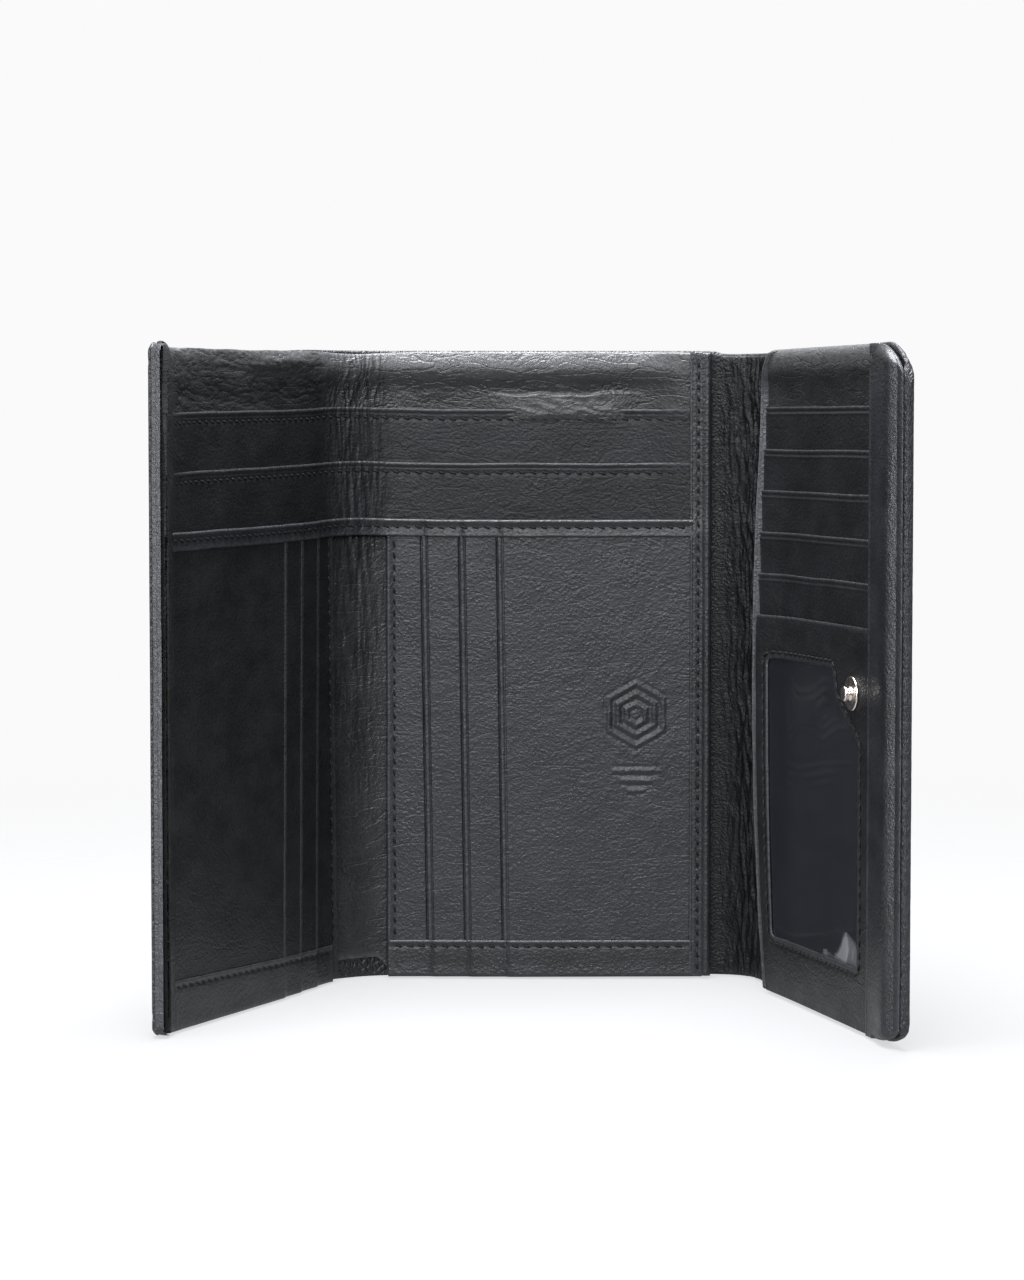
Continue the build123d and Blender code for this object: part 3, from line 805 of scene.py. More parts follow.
def lining_front(g):
    crumple = step(g.u, U_B + 2, U_B - 8) * step(g.v, REAR_TOP - 4, REAR_TOP + 3)
    warp = 0.5 * noise(g.u / 6, g.v / 4, 3)
    crackle = -0.2 * ridges(g.u / 7 + warp, g.v / 2.6 + 0.15 * g.u / 7, 11, 2.2)
    crackle = crackle - 0.1 * ridges(g.u / 3.4 + warp, g.v / 1.5, 13, 2.2)
    crackle = crackle + 0.55 * fractal(g.u / 17, g.v / 8, 12, 1)
    spine = bell(g.u, U_LEFT_MID + 1.0, 7.5) * step(g.v, BAND_TOP, REAR_TOP)
    gathers = 0.34 * ridges(g.u / 2.6 + g.v / 17 + warp, g.v / 11, 16, 1.4)
    gathers = spine * (gathers + 0.22 * ridges(g.u / 1.5 - g.v / 6, g.v / 5.5 + warp, 17, 1.6) * step(g.v, REAR_TOP - 2, REAR_TOP))
    wing = step(-g.u, -U_B + 1, -U_B + 6)
    patch = step(-g.u, 62, 70) * step(g.u, -98, -84)
    roll = (1.15 * (1 - wing) + wing * (0.3 + 0.9 * patch)) * bell(g.v, HEIGHT - 4.2 + 1.6 * wing, 3.0 - 0.8 * wing)
    lip = REAR_TOP + 3.6 + 0.9 * noise(g.u / 6.0, 0.3, 9)
    in_tuck = step(g.u, TUCK[0] - 6, TUCK[0] + 4) * step(-g.u, -TUCK[1] - 6, -TUCK[1] + 4)
    tuck = in_tuck * (1 - step(g.v, lip - 0.15, lip + 0.15)) * step(g.v, REAR_TOP - 6, REAR_TOP - 1)
    folds = 0.2 * ridges(g.u / 7, g.v / 2.4 + g.u / 14, 14, 1.2)
    centre = step(g.u, U_A + 4, U_A + 14)
    long_fold = 0.13 * centre * ridges(g.u / 34, (g.v - 0.02 * g.u) / 9.5, 18, 3.0) * step(g.v, REAR_TOP, REAR_TOP + 3)
    smooth = soft(g, 12, 0.12, 15)
    held = step(g.u, SEAM_LEFT - 0.5, SEAM_LEFT + 7)
    return LINING_FRONT + held * (crumple * crackle + roll) + gathers + tuck * (0.75 + folds) + long_fold + smooth - 0.05


# Painted highlight: the tuck's lip and the band along the top roll get the pale colour where the light catches them
def lining_painted_highlight(g):
    lip = step(g.v, REAR_TOP - 2, REAR_TOP) * (1 - step(g.v, REAR_TOP + 3.2, REAR_TOP + 4.2))
    inside = step(g.u, TUCK[0] - 5, TUCK[0] + 5) * step(-g.u, -TUCK[1] - 5, -TUCK[1] + 5)
    return 0.6 * lip * inside + 0.3 * step(g.v, HEIGHT - 7.5, HEIGHT - 5)


def lining_uv(a, b):
    # The lining stops short of the floor where it crosses the spine
    lift = CAD["left_spine_lining"].v0 - CAD["centre_lining"].v0
    inside = step(a, U_B - 5, U_B) * (1 - step(a, U_A, U_A + 5))
    sag = 0.35 * noise(a / 13, 2.0, 21) + 0.5 * step(a, U_B, U_B - 30) - 0.5 * bell(a, U_LEFT_MID, 11)
    low = lift * inside * np.clip((40 - b) / 40, 0, 1) ** 1.5
    return a, b + low + sag * step(b, HEIGHT - 15, HEIGHT - 1)


lining_across = lines(LEFT_IN, CENTRE_OUT, 0.6, [(U_LEFT_MID, 9.0)], 0.28)
lining_up = lines(CAD["centre_lining"].v0, HEIGHT - 0.3, 1.6, [((REAR_TOP + HEIGHT) / 2, 7.6)], 0.28)
lining = panel("Lining", lining_across, lining_up, lining_front, CAD["centre_board"].n0, lining_uv,
               rims={"b": 0.45, "t": 3.6}, cuts=(U_LEFT_MID,), worn=lining_painted_highlight)
for piece, crease, nodes in zip(lining, "BA", (
        ("left_wing_lining", "left_wing_board", "left_wing_rfid_foil"),
        ("centre_lining", "left_spine_lining", "centre_board", "centre_rfid_foil"))):
    finish_piece(piece, LINING, nodes, crease=crease)


# ---------------------------------------------------------------- note pockets across both panels
def pocket_wrinkles(g, seed):
    """Creases where the pockets bend over the spine, drawn mostly up and down."""
    spine = bell(g.u, U_LEFT_MID + 0.6, 8.0)
    long_folds = ridges(g.u / 2.9 + g.v / 26, g.v / 18, seed, 1.3)
    short_folds = ridges(g.u / 1.5 + 0.5 * noise(g.u / 4, g.v / 5, seed + 1), g.v / 6.5, seed + 2, 1.5)
    return spine * (0.27 * long_folds + 0.2 * short_folds)


def mouth_shape(g, top):
    """Turned edge at a pocket's mouth: a bead, then a pressed line and a row of stitches."""
    depth = top - g.b
    bead = 0.14 * bell(depth, 0.45, 0.45)
    pressed = groove(depth - 1.15, 0.25, 0.1)
    return bead + pressed + stitch_dent(depth - 2.3) * step(g.u, LEFT_IN, LEFT_IN + 1)


def note_pocket(name, node, top, seed, left_drop, rows):
    level = CAD["centre_" + node].n1
    bottom = WELT_LOW + 0.9

    def front(g):
        return level + mouth_shape(g, top) + pocket_wrinkles(g, seed) + soft(g, 16, 0.1, seed + 3)

    def to_uv(a, b):
        shift = mouth(a, 0.0, left_drop) * step(b, bottom, top)
        wave = 0.18 * noise(a / 17, 1.0, seed + 7) * step(b, bottom, top)
        return a, b + shift + wave

    across = lines(LEFT_IN, CENTRE_OUT, 0.65, [(U_LEFT_MID, 10.0)], 0.28)
    up = lines(bottom, top, 1.2, [(top - 0.9, 0.9), (top - 2.3, 0.9)], 0.2)
    pieces = panel(name, across, up, front, level - LEATHER, to_uv, rims={"t": 0.42}, cuts=(U_LEFT_MID,))
    prefixes = (("left_wing_",), ("centre_", "left_spine_"))
    for piece, crease, owners in zip(pieces, "BA", prefixes):
        finish_piece(piece, WING_NAPPA_SHADED_COPY if crease == "B" else NOTE_NAPPA_LIT_COPY,
                     [owner + node for owner in owners], crease=crease)
    spot = front

    def stitched(u, v):
        shift = float(mouth(u, 0.0, left_drop) + 0.18 * noise(u / 17, 1.0, seed + 7))
        return spot(At(u, v - shift))

    for crease, u0, u1 in (("B", CAD["left_wing_edge_binding"].u1 + 0.4, U_LEFT_MID),
                           ("A", U_LEFT_MID, CAD["centre_edge_band"].u0 - 0.3)):
        us = np.linspace(u0, u1, 40)
        vs = top - 2.3 + mouth(us, 0.0, left_drop) + 0.18 * noise(us / 17, 1.0, seed + 7)
        rows[crease].append((np.stack([us, vs], -1), stitched, -17))


pocket_rows = {"A": [], "B": []}
note_pocket("Note_pocket_rear", "note_pocket_rear", REAR_TOP, 70, 1.2, pocket_rows)
note_pocket("Note_pocket_middle", "note_pocket_middle", MIDDLE_TOP, 80, 1.4, pocket_rows)


# ---------------------------------------------------------------- front pocket with its card slots
def seam_left(v):
    """Left wing's front pocket ends by the spine on a line that leans over the crease."""
    return U_B - 0.5 + 1.7 * (1 - np.clip(v / SLOT_HEIGHT, 0, 1))


POCKET_LOW = CAD["centre_note_pocket_front"].v0
SEAM_IN = 2.1


def trench(g, number, side):
    """The next card slot's open mouth: a narrow gap beside it."""
    if number > 2:
        return 0.0
    edge = CENTRE_EDGES[number] if side > 0 else LEFT_EDGES[number]
    return groove((g.u - edge) * side - lean(g.v) + 0.12, 0.2, 0.32)


def base_panel(name, start, end, side, shade, nodes, crease):
    """Front pocket of one panel. Its free edge is at start and side points from there to the panel."""
    low, high = min(start, end), max(start, end)

    def to_uv(a, b):
        near = 1 - step(np.abs(a - start), 3, 22)
        bottom_lean = (seam_left(b) - seam_left(SLOT_HEIGHT)) if side < 0 else 0.25 * noise(b / 30, 5.0, 33)
        return a + near * bottom_lean, b

    def front(g):
        inset = np.abs(g.a - start)
        slopes = 0.1 * bell(inset, 0.7, 0.6) + stitch_dent(inset - SEAM_IN)
        return BASE_FRONT + slopes + trench(g, 0, side) + soft(g, 14, 0.1, 31)

    following = (CENTRE_EDGES if side > 0 else LEFT_EDGES)[0]
    across = lines(low, high, 1.3, [(start + side * 1.2, 1.3), (following + side * 0.6, 1.2)], 0.18)
    up = lines(POCKET_LOW, WELT_LOW + 2.5, 0.65)
    rims = {"l" if side > 0 else "r": 0.4, "b": 0.4}
    piece, = panel(name, across, up, front, LINING_FRONT + GAP, to_uv, rims=rims)
    finish_piece(piece, shade, nodes, crease=crease)
    return front


centre_base = base_panel("Front_pocket_centre", CAD["centre_note_pocket_front"].u0 - 0.6, CENTRE_OUT, 1, CENTRE_NAPPA_LIT_COPY,
                         ("centre_note_pocket_front",), "A")
left_base = base_panel("Front_pocket_left", U_B - 0.5, LEFT_IN, -1, WING_NAPPA_SHADED_COPY, ("left_wing_note_pocket_front",), "B")


EMBLEM_U, EMBLEM_V = 17.2, 57.7
EMBLEM_WIDTH, EMBLEM_HEIGHT = 13.5, 29.0


def emblem(g):
    """Blind-stamped ornament of the builder's own: three nested hexagons over a row of small bars."""
    x = np.abs(g.u - EMBLEM_U)
    y = np.abs(g.v - EMBLEM_V - 3.5)
    apothem = np.maximum(x, 0.5 * x + math.sqrt(0.75) * y)
    rise = 0
    for ring in (6.3, 4.2, 2.1):
        distance = apothem - ring
        rise = rise + 0.15 * bell(distance, 0, 0.42) - 0.1 * bell(np.abs(distance), 0.95, 0.34)
    for number, width in enumerate((5.6, 3.8, 2.0)):
        centre_v = EMBLEM_V - EMBLEM_HEIGHT / 2 + 5.0 - 2.3 * number
        across = step(width - np.abs(g.u - EMBLEM_U), -0.35, 0.35)
        rise = rise + across * (0.17 * bell(g.v, centre_v, 0.45) - 0.1 * bell(np.abs(g.v - centre_v), 1.0, 0.3))
    return rise


def slot_panel(name, number, edge, end, side, shade, nodes, with_emblem=False):
    """One card slot. Its mouth is at edge, with a pressed line beside it."""
    level = BASE_FRONT + LAYER * (number + 1)
    low, high = min(edge, end), max(edge, end)

    def to_uv(a, b):
        return a + side * lean(b) * (1 - step(np.abs(a - edge), 4, 30)), b

    def front(g):
        inset = np.abs(g.a - edge)
        result = level + 0.07 * bell(inset, 0.4, 0.3) + groove(inset - 1.15, 0.16, 0.26)
        result = result + trench(g, number + 1, side) + soft(g, 15, 0.08, 35 + number)
        result = result + 0.06 * ridges((g.u + g.v) / 12, (g.v - g.u) / 5, 36 + number, 2.0)
        if with_emblem:
            result = result + emblem(g)
        return result

    fine_across = [(edge + side * 1.0, 1.0)]
    if number < 2:
        following = (CENTRE_EDGES if side > 0 else LEFT_EDGES)[number + 1]
        fine_across.append((following + side * 0.6, 1.2))
    fine_up = []
    if with_emblem:
        fine_across.append((EMBLEM_U, EMBLEM_WIDTH / 2 + 1.2))
        fine_up.append((EMBLEM_V, EMBLEM_HEIGHT / 2 + 1.2))
    across = lines(low, high, 1.4, fine_across, 0.24 if with_emblem else 0.15, rim=0.4)
    up = lines(POCKET_LOW, WELT_LOW + 2.5, 1.4, fine_up, 0.24)
    rims = {"l" if side > 0 else "r": 0.3, "b": 0.4}
    piece, = panel(name, across, up, front, level - LEATHER, to_uv, rims=rims)
    body = "centre_panel" if side > 0 else "left_wing"
    finish_piece(piece, shade, nodes, body=body)


for number in range(3):
    slot_panel(f"Card_slot_centre_{number + 1}", number, CENTRE_EDGES[number], CENTRE_OUT, 1, CENTRE_NAPPA_LIT_COPY,
               (f"centre_card_slot_{number + 1}",), number == 2)
    slot_panel(f"Card_slot_left_{number + 1}", number, LEFT_EDGES[number], LEFT_IN, -1, WING_NAPPA_SHADED_COPY,
               (f"left_wing_card_slot_{number + 1}",))


# ---------------------------------------------------------------- welt over the pocket's top, dipping into the spine
TRIM_THICK = CAD["centre_bottom_band"].n1 - CAD["centre_bottom_band"].n0
WELT_DROP = 0.9
WELT_ROW = 1.8


def welt_front(g):
    spine = bell(g.u, U_LEFT_MID, 7.5)
    bead = 0.2 * bell(g.b, WELT_TOP - 0.5, 0.45) + 0.06 * bell(g.b, WELT_LOW + 0.4, 0.4)
    wrinkles = 0.3 * spine * ridges(g.u / 1.7, g.v / 7, 52, 1.0)
    return stack(g.u, g.v) + TRIM_THICK + 0.12 + bead + stitch_dent(g.b - WELT_TOP + WELT_ROW) + wrinkles + soft(g, 9, 0.06, 53)


def welt_back(g):
    return np.minimum(stack(g.u, g.v) + 0.05, welt_front(g) - 0.3)


def welt_uv(a, b):
    return a, b + mouth(a, 0.0, WELT_DROP) + 0.15 * noise(a / 15, 3.0, 54)


welt_across = lines(CAD["left_wing_edge_binding"].u1 - 0.6, CAD["centre_edge_band"].u0 + 0.6, 0.6)
welt_up = lines(WELT_LOW, WELT_TOP, 0.35, rim=0.4)
welt = panel("Pocket_welt", welt_across, welt_up, welt_front, welt_back, welt_uv, rims={"b": 0.35, "t": 0.42},
             cuts=(U_LEFT_MID,))
for piece, crease, nodes in zip(welt, "BA", (
        ("left_wing_pocket_welt",), ("centre_pocket_welt", "left_spine_note_pocket_front"))):
    finish_piece(piece, TRIM, nodes, crease=crease)


def welt_stitch(u, v):
    shift = float(mouth(u, 0.0, WELT_DROP) + 0.15 * noise(u / 15, 3.0, 54))
    spot = At(u, v - shift)
    return welt_front(spot)


for crease, u0, u1 in (("B", CAD["left_wing_edge_binding"].u1 + 0.6, U_LEFT_MID),
                       ("A", U_LEFT_MID, CAD["centre_edge_band"].u0 - 0.6)):
    us = np.linspace(u0, u1, 40)
    vs = WELT_TOP - WELT_ROW + mouth(us, 0.0, WELT_DROP) + 0.15 * noise(us / 15, 3.0, 54)
    pocket_rows[crease].append((np.stack([us, vs], -1), welt_stitch, -20))
thread_piece("Pocket_stitches_left", pocket_rows["B"], crease="B", seed=5)
thread_piece("Pocket_stitches_centre", pocket_rows["A"], crease="A", seed=6)


# ---------------------------------------------------------------- bottom bands
def bottom_band(name, low, high, top_at, body, node, start_side):
    def front(g):
        bead = 0.1 * bell(g.v, top_at(g.u) - 0.45, 0.4) + 0.15 * bell(g.v, 1.2, 1.2)
        row = stitch_dent(top_at(g.u) - 1.4 - g.v)
        return stack(g.u, g.v) + TRIM_THICK + 0.1 + bead + row + soft(g, 10, 0.08, 58)

    def back(g):
        return stack(g.u, g.v) + 0.04

    def to_uv(a, b):
        return a, b * top_at(a) / BAND_TOP

    across = lines(low, high, 0.65)
    up = lines(CAD[node].v0, BAND_TOP, 1.0, [(BAND_TOP - 1.0, 1.2)], 0.22)
    rims = {start_side: 0.4, "b": 0.5, "t": 0.35}
    piece, = panel(name, across, up, front, back, to_uv, rims=rims)
    finish_piece(piece, TRIM, (node,), body=body)
    us = np.linspace(low + 1.5, high - 1.5, 30)
    return (np.stack([us, top_at(us) - 1.4], -1), level_of(front), -17)


LEFT_SEAM_END = U_B - 5.9
left_band_row = bottom_band("Bottom_band_left", LEFT_IN + 2.4, U_B - 1.9,
                            lambda u: BAND_TOP - 0.2 + 2.1 * np.clip((U_B - 8 - u) / 66, 0, 1),
                            "left_wing", "left_wing_bottom_band", "r")
centre_band_row = bottom_band("Bottom_band_centre", CAD["centre_bottom_band"].u0 - 0.4, CAD["centre_edge_band"].u0 + 0.5,
                              lambda u: BAND_TOP - 0.2 + 0 * u, "centre_panel", "centre_bottom_band", "l")


# ---------------------------------------------------------------- upright bands at the outer edges
def upright_band(name, low, high, front, back, rims, shade, nodes, body, fine, to_uv=None):
    across = lines(low, high, 0.5, fine, 0.18, rim=0.9)
    up = lines(0.3, HEIGHT - 0.3, 0.65)
    piece, = panel(name, across, up, front, back, to_uv, rims=rims)
    return finish_piece(piece, shade, nodes, body=body)


BAND_IN, BAND_OUT = CAD["centre_edge_band"].u0, CAD["centre_edge_band"].u1
BAND_BACK = CAD["centre_edge_band"].n0
BAND_ROW = BAND_IN + 1.9


def centre_edge_front(g):
    inset = g.u - BAND_IN
    crown = 0.1 + 0.45 * (1 - step(g.v, WELT_LOW, WELT_TOP + 3)) + 0.5 * bell(inset, 3.9, 1.2)
    pressed = groove(inset - 0.75, 0.22, 0.1) + groove(inset - 2.85, 0.35, 0.16)
    return BAND_BACK + crown + pressed + stitch_dent(g.u - BAND_ROW) + 0.07 * noise(g.v / 24, g.u / 6, 63)


def centre_edge_back(g):
    return BAND_BACK - 0.9 * (g.v > WELT_TOP) - (BAND_BACK - 0.95) * step(g.u, BAND_OUT - 2.2, BAND_OUT - 2.0)


upright_band("Edge_band_centre", BAND_IN, BAND_OUT, centre_edge_front, centre_edge_back,
             {"l": 0.4, "r": 0.8, "b": 0.5, "t": 0.7}, TRIM,
             ("centre_edge_band", "centre_edge_filler"), "centre_panel", [(BAND_IN + 1.8, 1.8)])

BIND_OUT, BIND_IN = LEFT_TIP - 0.3, CAD["left_wing_edge_binding"].u1
BIND_BACK = CAD["left_wing_edge_binding"].n0
BIND_ROW = BIND_IN - 1.3


def binding_front(g):
    out = g.u - BIND_OUT
    wobble = 0.25 * noise(g.v / 19, 0.0, 65)
    ridge = 0.9 * bell(out, 1.3 + wobble, 0.75)
    valley = groove(out - 2.9 - wobble, 0.5, 0.35)
    inner = 0.55 + 0.2 * (1 - step(g.v, WELT_LOW, WELT_TOP + 3)) + 0.8 * bell(out, 4.3, 0.9)
    inner = inner + (0.65 - inner) * (1 - step(out, 0.8, 3.2))
    return BIND_BACK + inner + ridge + valley + stitch_dent(g.u - BIND_ROW) + 0.1 * noise(g.v / 13, g.u / 5, 66)


def binding_back(g):
    core = (BIND_BACK - 0.05) * (1 - step(g.u, BIND_OUT + 2.6, BIND_OUT + 2.8))
    wrap = 1.2 * (1 - step(g.u, LEFT_TIP + 0.5, LEFT_TIP + 0.9))
    return BIND_BACK - 0.9 - core * 0.79 - wrap


upright_band("Edge_binding_left", BIND_OUT, BIND_IN, binding_front, binding_back,
             {"l": 1.3, "r": 0.4, "b": 0.5, "t": 0.8}, TRIM,
             ("left_wing_edge_binding", "left_wing_edge_filler"), "left_wing", [(BIND_OUT + 2.4, 2.0)],
             lambda a, b: (a + 0.3 * noise(b / 21, 0.0, 67) * step(-a, -BIND_OUT - 4, -BIND_OUT - 1),
                           corner_squeeze(a, b, BIND_OUT, 2.2, -1)))

upright = np.linspace(1.5, HEIGHT - 1.8, 60)
panel_height = np.linspace(BAND_TOP + 0.4, WELT_LOW - 0.3, 50)
centre_rows = [
    (np.stack([np.full(60, BAND_ROW), upright], -1), level_of(centre_edge_front), 9),
    centre_band_row,
]
left_rows = [
    (np.stack([np.full(60, BIND_ROW), upright], -1), level_of(binding_front), 9),
    left_band_row,
]
centre_start = CAD["centre_note_pocket_front"].u0 - 0.6
centre_seam = (np.stack([centre_start + SEAM_IN + 0.25 * noise(panel_height / 30, 5.0, 33), panel_height], -1),
               lambda u, v: centre_base(At(centre_start + SEAM_IN, v)), 9)
left_seam = (np.stack([seam_left(panel_height) - SEAM_IN, panel_height], -1),
             lambda u, v: left_base(At(U_B - 0.5 - SEAM_IN, v)), 9)
thread_piece("Seam_stitches_centre", centre_rows, ("centre_seam_threads",), body="centre_panel", seed=7)
thread_piece("Seam_stitches_left", left_rows, ("left_wing_seam_threads",), body="left_wing", seed=8)
thread_piece("Spine_seam_centre", [centre_seam], crease="A", seed=9)
thread_piece("Spine_seam_left", [left_seam], crease="B", seed=10)


# ---------------------------------------------------------------- gusset between the band and the right flap
GUSSET_IN = CAD["centre_gusset_flange"].u0
GUSSET_OUT = CAD["right_spine_gusset"].u1
GUSSET_LEVEL = CAD["right_spine_gusset"].n1


def gusset_front(g):
    warp = 0.7 * noise(g.u / 6, g.v / 11, 90)
    folds = ridges(g.u / 2.7 + 0.6 * warp + g.v / 40, g.v / 15 + 0.15 * warp, 91, 1.2)
    folds = folds + 0.4 * ridges(g.u / 1.6 - g.v / 9, g.v / 7 + 0.3 * warp, 96, 1.4)
    pebble = np.abs(fractal(g.u / 1.05 + 0.3 * warp, g.v / 1.5, 93, 2))
    fade = step(g.u, GUSSET_IN, GUSSET_IN + 4)
    middle = bell(g.u, 52, 11)
    return (GUSSET_LEVEL - 0.32 + fade * (0.7 * middle * (folds - 0.4) + 0.1 * (np.clip(pebble, 0, 0.45) / 0.45 - 0.5))
            + 0.2 * fractal(g.u / 8, g.v / 20, 94, 2) * fade)


def gusset_back(g):
    return np.full(g.a.shape, 0.05)


gusset = panel("Gusset", lines(GUSSET_IN, GUSSET_OUT + 0.9, 0.34), lines(0.3, HEIGHT - 0.6, 0.45),
               gusset_front, gusset_back, rims={"b": 0.5, "t": 0.5}, cuts=(U_RIGHT_MID,))
for piece, crease, nodes in zip(gusset, "CD", (("centre_gusset_flange", "right_spine_gusset"), ())):
    finish_piece(piece, GUSSET, nodes, crease=crease)


# ---------------------------------------------------------------- right flap: lining, card slots, window
def right(t):
    return U_D + t


SLOT_TOPS = [CAD[f"right_wing_card_slot_{k}"].v1 for k in (1, 2, 3, 4, 5)]
SLOT_PITCH = SLOT_TOPS[0] - SLOT_TOPS[1]
ID_TOP = CAD["right_wing_id_panel"].v1
ID_FRONT, ID_BACK = CAD["right_wing_id_panel"].n1, CAD["right_wing_id_panel"].n0
RIGHT_END = CAD["right_wing_backing"].u1
RIGHT_IN = CAD["right_wing_hinge_piping"].u0
SLOT_START = CAD["right_wing_card_slot_1"].u0


MOUTH_FRONT = ID_FRONT - 0.3
SLOPE = 0.45


def shingle(depth):
    """Front of a pocket under its mouth: it leans back to pass behind the next pocket's mouth."""
    return MOUTH_FRONT - SLOPE * np.clip(depth / SLOT_PITCH, -0.4, 2.0)


def right_lining_front(g):
    roll = 0.7 * bell(g.v, HEIGHT - 4.6, 3.2)
    crease = 0.2 * ridges(g.u / 13, g.v / 30, 101, 2.0) * step(g.v, REAR_TOP, REAR_TOP + 4)
    return shingle(SLOT_TOPS[0] + SLOT_PITCH - g.v) + roll + crease + soft(g, 14, 0.12, 102)


# The band along the top roll is painted pale: a painted highlight
piece, = panel("Lining_right", lines(RIGHT_IN, RIGHT_END, 1.2),
               lines(CAD["right_wing_backing"].v0, HEIGHT - 0.25, 3.0, [(HEIGHT - 6, 5.6)], 0.35),
               right_lining_front, 0.05, rims={"b": 0.5, "t": 2.2}, worn=lambda g: 0.3 * step(g.v, HEIGHT - 7, HEIGHT - 3))
finish_piece(piece, LINING,
             ("right_wing_backing", "right_wing_board", "right_wing_rfid_foil", "right_wing_foam"), body="right_wing")

for number in range(5):
    node = CAD[f"right_wing_card_slot_{number + 1}"]

    def slot_front(g, top=node.v1, seed=110 + number):
        depth = top - g.b
        bead = 0.1 * bell(depth, 0.4, 0.35)
        return shingle(depth) + bead + groove(depth - 1.05, 0.3, 0.16) + 0.09 * bell(depth, 1.6, 0.3) + soft(g, 13, 0.06, seed)

    def slot_uv(a, b, top=node.v1, seed=120 + number):
        return a, b + 0.22 * noise(a / 22, 1.5, seed) * step(b, top - 12, top)

    low = node.v1 - 1.5 * SLOT_PITCH
    piece, = panel(f"Card_slot_right_{number + 1}", lines(SLOT_START, RIGHT_END, 1.3),
                   lines(low, node.v1, 1.6, [(node.v1 - 1.1, 1.1)], 0.14, rim=0.4), slot_front,
                   lambda g, f=slot_front: f(g) - LEATHER + 0.06, slot_uv,
                   rims={"t": 0.36})
    finish_piece(piece, WING_NAPPA_SHADED_COPY, (f"right_wing_card_slot_{number + 1}",), body="right_wing")


# The window's outline, clockwise from its lower left corner seen from inside
WINDOW = [(right(t), v) for t, v in
          ((7.5, 13.5), (7.5, 76.0), (42.5, 76.0), (44.5, 69.5), (57.5, 61.0), (57.5, 13.5))]


def rounded_outline(corners, radius, spacing):
    """Points round a polygon with its corners rounded, evenly spaced, and their outward normals."""
    points = []
    count = len(corners)
    for k in range(count):
        before, here, after = (np.array(corners[(k + shift) % count], float) for shift in (-1, 0, 1))
        to_before, to_after = before - here, after - here
        start = here + to_before / np.hypot(*to_before) * radius
        end = here + to_after / np.hypot(*to_after) * radius
        for t in np.linspace(0, 1, 6):
            points.append((1 - t) ** 2 * start + 2 * t * (1 - t) * here + t ** 2 * end)
    points = np.array(points + [points[0]])
    reach = np.concatenate([[0], np.cumsum(np.hypot(*np.diff(points, axis=0).T))])
    spots = np.linspace(0, reach[-1], int(reach[-1] / spacing), endpoint=False)
    ring = np.stack([np.interp(spots, reach, points[:, 0]), np.interp(spots, reach, points[:, 1])], -1)
    tangent = np.roll(ring, -1, 0) - np.roll(ring, 1, 0)
    tangent /= np.linalg.norm(tangent, axis=1, keepdims=True)
    return ring, np.stack([-tangent[:, 1], tangent[:, 0]], -1), spots


def id_frame():
    """The leather frame round the window: rings that follow the window, then reach out to a rectangle."""
    ring, out, run = rounded_outline(WINDOW, 1.3, 0.65)
    middle = ring.mean(0)
    box_low = np.array([SLOT_START, CAD["right_wing_id_panel"].v0])
    box_high = np.array([RIGHT_END, ID_TOP])
    offsets = np.array([0, 0.04, 0.12, 0.24, 0.4, 0.6, 0.8, 1.0, 1.2, 1.4, 1.6, 1.8, 2.1, 2.5, 3.0])
    rows = [ring + out * offset for offset in offsets]
    inner = rows[-1]
    ray = inner - middle
    scale = np.minimum(np.where(ray[:, 0] > 0, box_high[0] - middle[0], box_low[0] - middle[0]) / ray[:, 0],
                       np.where(ray[:, 1] > 0, box_high[1] - middle[1], box_low[1] - middle[1]) / ray[:, 1])
    outer = middle + ray * scale[:, None]
    for share in (0.15, 0.35, 0.6, 0.8, 0.9, 0.96, 1.0):
        rows.append(inner + (outer - inner) * share)
    rows = np.array(rows)
    inset = np.concatenate([offsets, np.full(7, 9.0)])[:, None] + np.zeros(len(ring))[None, :]
    u, v = rows[..., 0], rows[..., 1]
    dome = np.sqrt(1 - (1 - np.clip(inset / 0.4, 0, 1)) ** 2)
    top_dome = np.sqrt(1 - (1 - np.clip((ID_TOP - v) / 0.4, 0, 1)) ** 2)
    spot = At(u, v)
    front = ID_FRONT + stitch_dent(inset - 1.5) + 0.1 * bell(inset, 0.5, 0.4) + soft(spot, 13, 0.08, 130)
    depth = ID_TOP - v
    front = front + 0.12 * bell(depth, 0.4, 0.35) + groove(depth - 1.05, 0.3, 0.14)
    centre_n = (front + ID_BACK) / 2
    shape = np.minimum(dome, top_dome)
    front, back = centre_n + (front - centre_n) * shape, centre_n + (ID_BACK - centre_n) * shape
    co = np.concatenate([place(u, v, front).reshape(-1, 3), place(u, v, back).reshape(-1, 3)])
    ring_count, around = u.shape
    index = np.arange(u.size).reshape(u.shape)
    following = np.roll(index, -1, 1)
    back_index, back_following = index + u.size, following + u.size
    faces = [np.stack([index[:-1], index[1:], following[1:], following[:-1]], -1).reshape(-1, 4),
             np.stack([back_index[:-1], back_following[:-1], back_following[1:], back_index[1:]], -1).reshape(-1, 4)]
    faces.append(np.stack([index[0], following[0], back_following[0], back_index[0]], -1))
    faces.append(np.stack([index[-1], back_index[-1], back_following[-1], following[-1]], -1))
    quads = np.concatenate(faces)
    normals = vertex_normals(co, np.concatenate(faces[:2]))
    uv = np.tile(np.stack([u.ravel(), v.ravel()], -1) / 100, (2, 1))
    # Pale frame edges: real edge wear and painted highlight
    wear = np.tile(np.exp(-np.minimum(inset, np.maximum(depth, 0)) / 0.6).ravel(), 2)
    piece = make_object("Window_frame", co, quads.tolist(), normals, uv, wear)
    finish_piece(piece, WING_NAPPA_SHADED_COPY, ("right_wing_id_panel",), body="right_wing")
    row = ring + out * 1.5
    return (np.concatenate([row, row[:1]]), lambda u, v: ID_FRONT - 0.05, 6)


window_row = id_frame()


